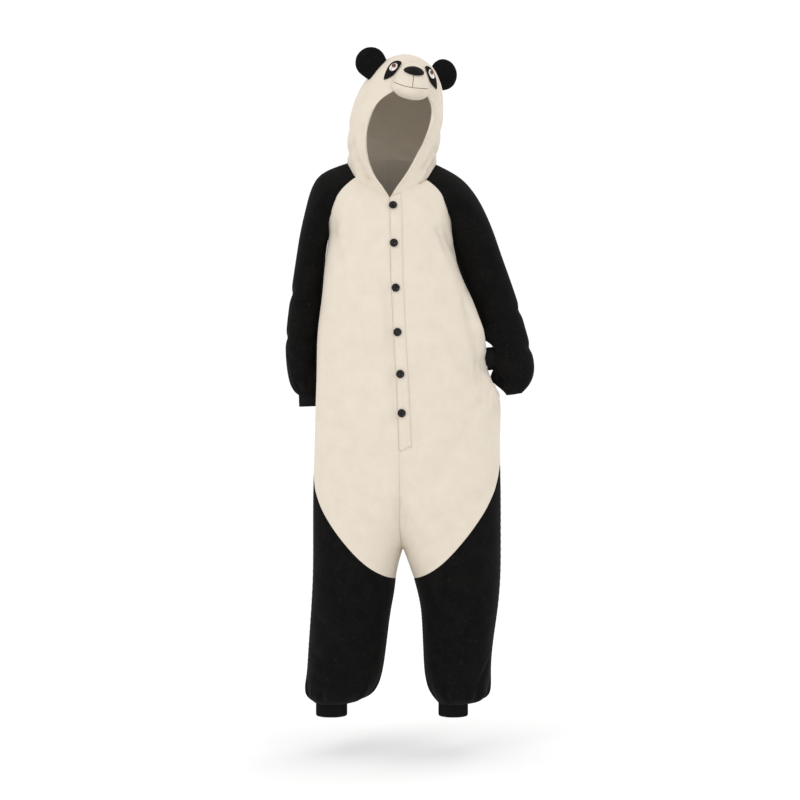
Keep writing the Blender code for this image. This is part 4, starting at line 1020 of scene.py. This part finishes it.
BUTTON_MESH = button_body(BUTTON_THICK)
THREADS = []
for count, node in enumerate(BUTTON_NODES):
    back, facing = button_place(node)
    lift = Vector(outward("body", np.array([back]))[0]) * float(relief("body", np.array([back]))[0])
    turn = Vector((0.0, -1.0, 0.0)).rotation_difference(facing).to_matrix().to_4x4()
    # each button is turned a little differently
    spin = turn @ Matrix.Rotation(BUTTON_TURN * ((count * 5) % 4 - 1.5), 4, "Y")
    spin.translation = back + lift
    mesh = BUTTON_MESH.copy()
    mesh.transform(spin)
    piece = add_piece(f"{node}_disc", mesh, BUTTON, smooth=False)
    for face in mesh.polygons:
        face.use_smooth = face.area < 2e-5
    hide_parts(node)
    for a, b in ((0, 1), (2, 3)):
        ends = [hole_place(k) for k in (a, b)]
        for shift in (-STRAND_APART, STRAND_APART):
            across = (ends[1] - ends[0]).normalized().cross(Vector((0.0, 1.0, 0.0))) * shift
            THREADS.append([spin @ (ends[0].lerp(ends[1], t) + across + Vector((0.0, h, 0.0))) for t, h in STRAND])
add_piece("button_threads", tube_mesh("button_threads", THREADS, STRAND_RADIUS), BLACK_THREAD)

# Placket

# Middle of the placket by height, how far it sinks into the nap, more at its left edge, and its slanted end
PLACKET_LEVELS = (-0.705, -0.608, -0.510, -0.405, -0.295, -0.183, -0.075)
PLACKET_MIDDLES = (0.026, 0.022, 0.019, 0.015, 0.009, 0.004, 0.000)
PLACKET_SINK, PLACKET_FLUSH, PLACKET_SLANT = 0.0011, 0.0004, 0.0070
PLACKET_HALF, PLACKET_LOW = 0.014, 0.650
FLUSH_FROM = (-0.56, -0.48)

mesh = smoothed("placket", 2)
co = coordinates(mesh)
middles = np.interp(co[:, 2], PLACKET_LEVELS, PLACKET_MIDDLES)
beside = smooth_step(co[:, 0] - middles, 0.0, PLACKET_HALF)
sunk = PLACKET_SINK + PLACKET_FLUSH * beside * smooth_step(co[:, 2], *FLUSH_FROM)
clear = smooth_step(distance_to(co, seam_line("front_left", ["sleeve_left"])), 0.0, SEAM_FADE)
lift = relief("body", co) * clear - sunk
co += outward("body", co) * lift[:, None]
co[:, 2] += PLACKET_SLANT * beside * smooth_step(-co[:, 2], PLACKET_LOW, -co[:, 2].min())
set_coordinates(mesh, co)
PLACKET = add_piece("placket_cloth", mesh, CREAM)
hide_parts("placket")

# Stitches

FRONT_TREE = shown_tree([PLACKET, PANELS["front_left"], PANELS["front_right"]])
STITCH, STITCH_GAP, THREAD_RADIUS = 0.0026, 0.0010, 0.00024
STITCH_RISE = Vector((0.0, -0.0004, 0.0))
STITCH_INSET = 0.0028
EDGE_LEVELS = np.arange(-0.685, -0.085, 0.03)
EDGE_NEAR, END_DROP, END_RISE = 0.006, 0.004, 0.012


def front_line(places, tree):
    """A line of places seen from the front, laid on the cloth."""
    found = []
    for x, z in spread(places, 24):
        start = Vector((x, -1.0, z))
        hit = tree.ray_cast(start, Vector((0.0, 1.0, 0.0)))[0]
        if hit is not None:
            found.append(hit)
    return found


def edge_of_placket(side, inset):
    """Heights and places across of one long edge of the placket, moved in."""
    co = coordinates(PLACKET.data)
    rows = []
    for z in EDGE_LEVELS:
        near = co[np.abs(co[:, 2] - z) < EDGE_NEAR]
        if not len(near):
            continue
        x = near[:, 0].max() - inset if side > 0 else near[:, 0].min() + inset
        rows.append((x, z))
    return rows


RUNS = []
for side in (-1, 1):
    RUNS += dashes(front_line(edge_of_placket(side, STITCH_INSET), FRONT_TREE), STITCH, STITCH_GAP, STITCH_RISE)
# the end slants up towards the wearer's left
(x, z), (far_x, far_z) = (edge_of_placket(side, STITCH_INSET)[0] for side in (-1, 1))
ends = (x, z - END_DROP), (far_x, far_z + END_RISE)
RUNS += dashes(front_line(ends, FRONT_TREE), STITCH, STITCH_GAP, STITCH_RISE)
add_piece("placket_stitches", tube_mesh("placket_stitches", RUNS, THREAD_RADIUS), CREAM_THREAD)

# Embroidery of the face

# Places across and up as the camera sees them
FACE_TREE = shown_tree([MUZZLE])
SMILE = ((0.0052, 0.2200), (0.0262, 0.2115), (0.0512, 0.2060), (0.0900, 0.2028))
LIP = ((0.0542, 0.2375), (0.0530, 0.2240), (0.0512, 0.2075))
EMBROIDERY_RADIUS, OUTLINE_RADIUS = 0.0007, 0.0008


def camera_line(places, tree):
    """A line of places seen by the camera, laid on the cloth."""
    hits = [tree.ray_cast(*sight("camera", *place))[0] for place in spread(places, 16)]
    return [hit for hit in hits if hit is not None]


RUNS = [camera_line(places, FACE_TREE) for places in (SMILE, LIP)]
add_piece("muzzle_embroidery", tube_mesh("muzzle_embroidery", [run for run in RUNS if len(run) > 2],
                                         EMBROIDERY_RADIUS), BROWN_THREAD)
RUNS = []
for word in SIDES:
    ring = min(rims(f"eye_white_{word}"), key=lambda line: np.mean([p.y for p in line]))
    centre = coordinates(bpy.data.objects[f"eye_white_{word}_felt"].data).mean(0)
    RUNS.append(centre + (spread(ring + ring[:2], 3) - centre) * WHITE_SIZE)
add_piece("eye_outlines", tube_mesh("eye_outlines", RUNS, OUTLINE_RADIUS), BROWN_THREAD)

# Stage

# Each light: name, place, size and power
LIGHTS = (
    ("key", (-2.4, -3.2, 1.8), 2.0, 26.0),
    ("fill", (2.6, -3.0, 0.8), 2.6, 8.0),
    ("rim", (1.6, 2.6, 2.2), 2.0, 14.0),
)
LIGHTS_AIM = (0.03, 0.0, -0.5)
FLOOR_HALF, FLOOR_TONE, SKY_STRENGTH = 40.0, 0.975, 1.03


def build_stage():
    """A pale floor, soft lights and the camera."""
    mesh = bpy.data.meshes.new("floor")
    corners = ((-1, -1), (1, -1), (1, 1), (-1, 1))
    mesh.from_pydata([(x * FLOOR_HALF, y * FLOOR_HALF, FLOOR_Z) for x, y in corners], [], [(0, 1, 2, 3)])
    mesh.update()
    floor = bpy.data.objects.new("floor", mesh)
    bpy.context.scene.collection.objects.link(floor)
    pale, _, shader = new_material("floor")
    shader.inputs["Base Color"].default_value = (FLOOR_TONE, FLOOR_TONE, FLOOR_TONE, 1.0)
    shader.inputs["Roughness"].default_value = 1.0
    shader.inputs["Specular IOR Level"].default_value = 0.0
    mesh.materials.append(pale)
    world = bpy.data.worlds.new("studio")
    bpy.context.scene.world = world
    world.use_nodes = True
    sky = world.node_tree.nodes["Background"]
    sky.inputs["Color"].default_value = (1.0, 1.0, 1.0, 1.0)
    sky.inputs["Strength"].default_value = SKY_STRENGTH
    for name, place, size, power in LIGHTS:
        light = bpy.data.lights.new(name, "AREA")
        light.shape, light.size, light.energy = "DISK", size, power
        lamp = bpy.data.objects.new(name, light)
        lamp.location = place
        lamp.rotation_mode = "QUATERNION"
        lamp.rotation_quaternion = (Vector(LIGHTS_AIM) - Vector(place)).to_track_quat("-Z", "Y")
        bpy.context.scene.collection.objects.link(lamp)
    eye = bpy.data.cameras.new("camera")
    eye.lens, eye.sensor_width = LENS, 36.0
    camera = bpy.data.objects.new("camera", eye)
    camera.location = CAMERA
    camera.rotation_euler = (math.pi / 2, 0.0, 0.0)
    bpy.context.scene.collection.objects.link(camera)
    bpy.context.scene.camera = camera
    bpy.context.scene.view_settings.view_transform = "Standard"


build_stage()
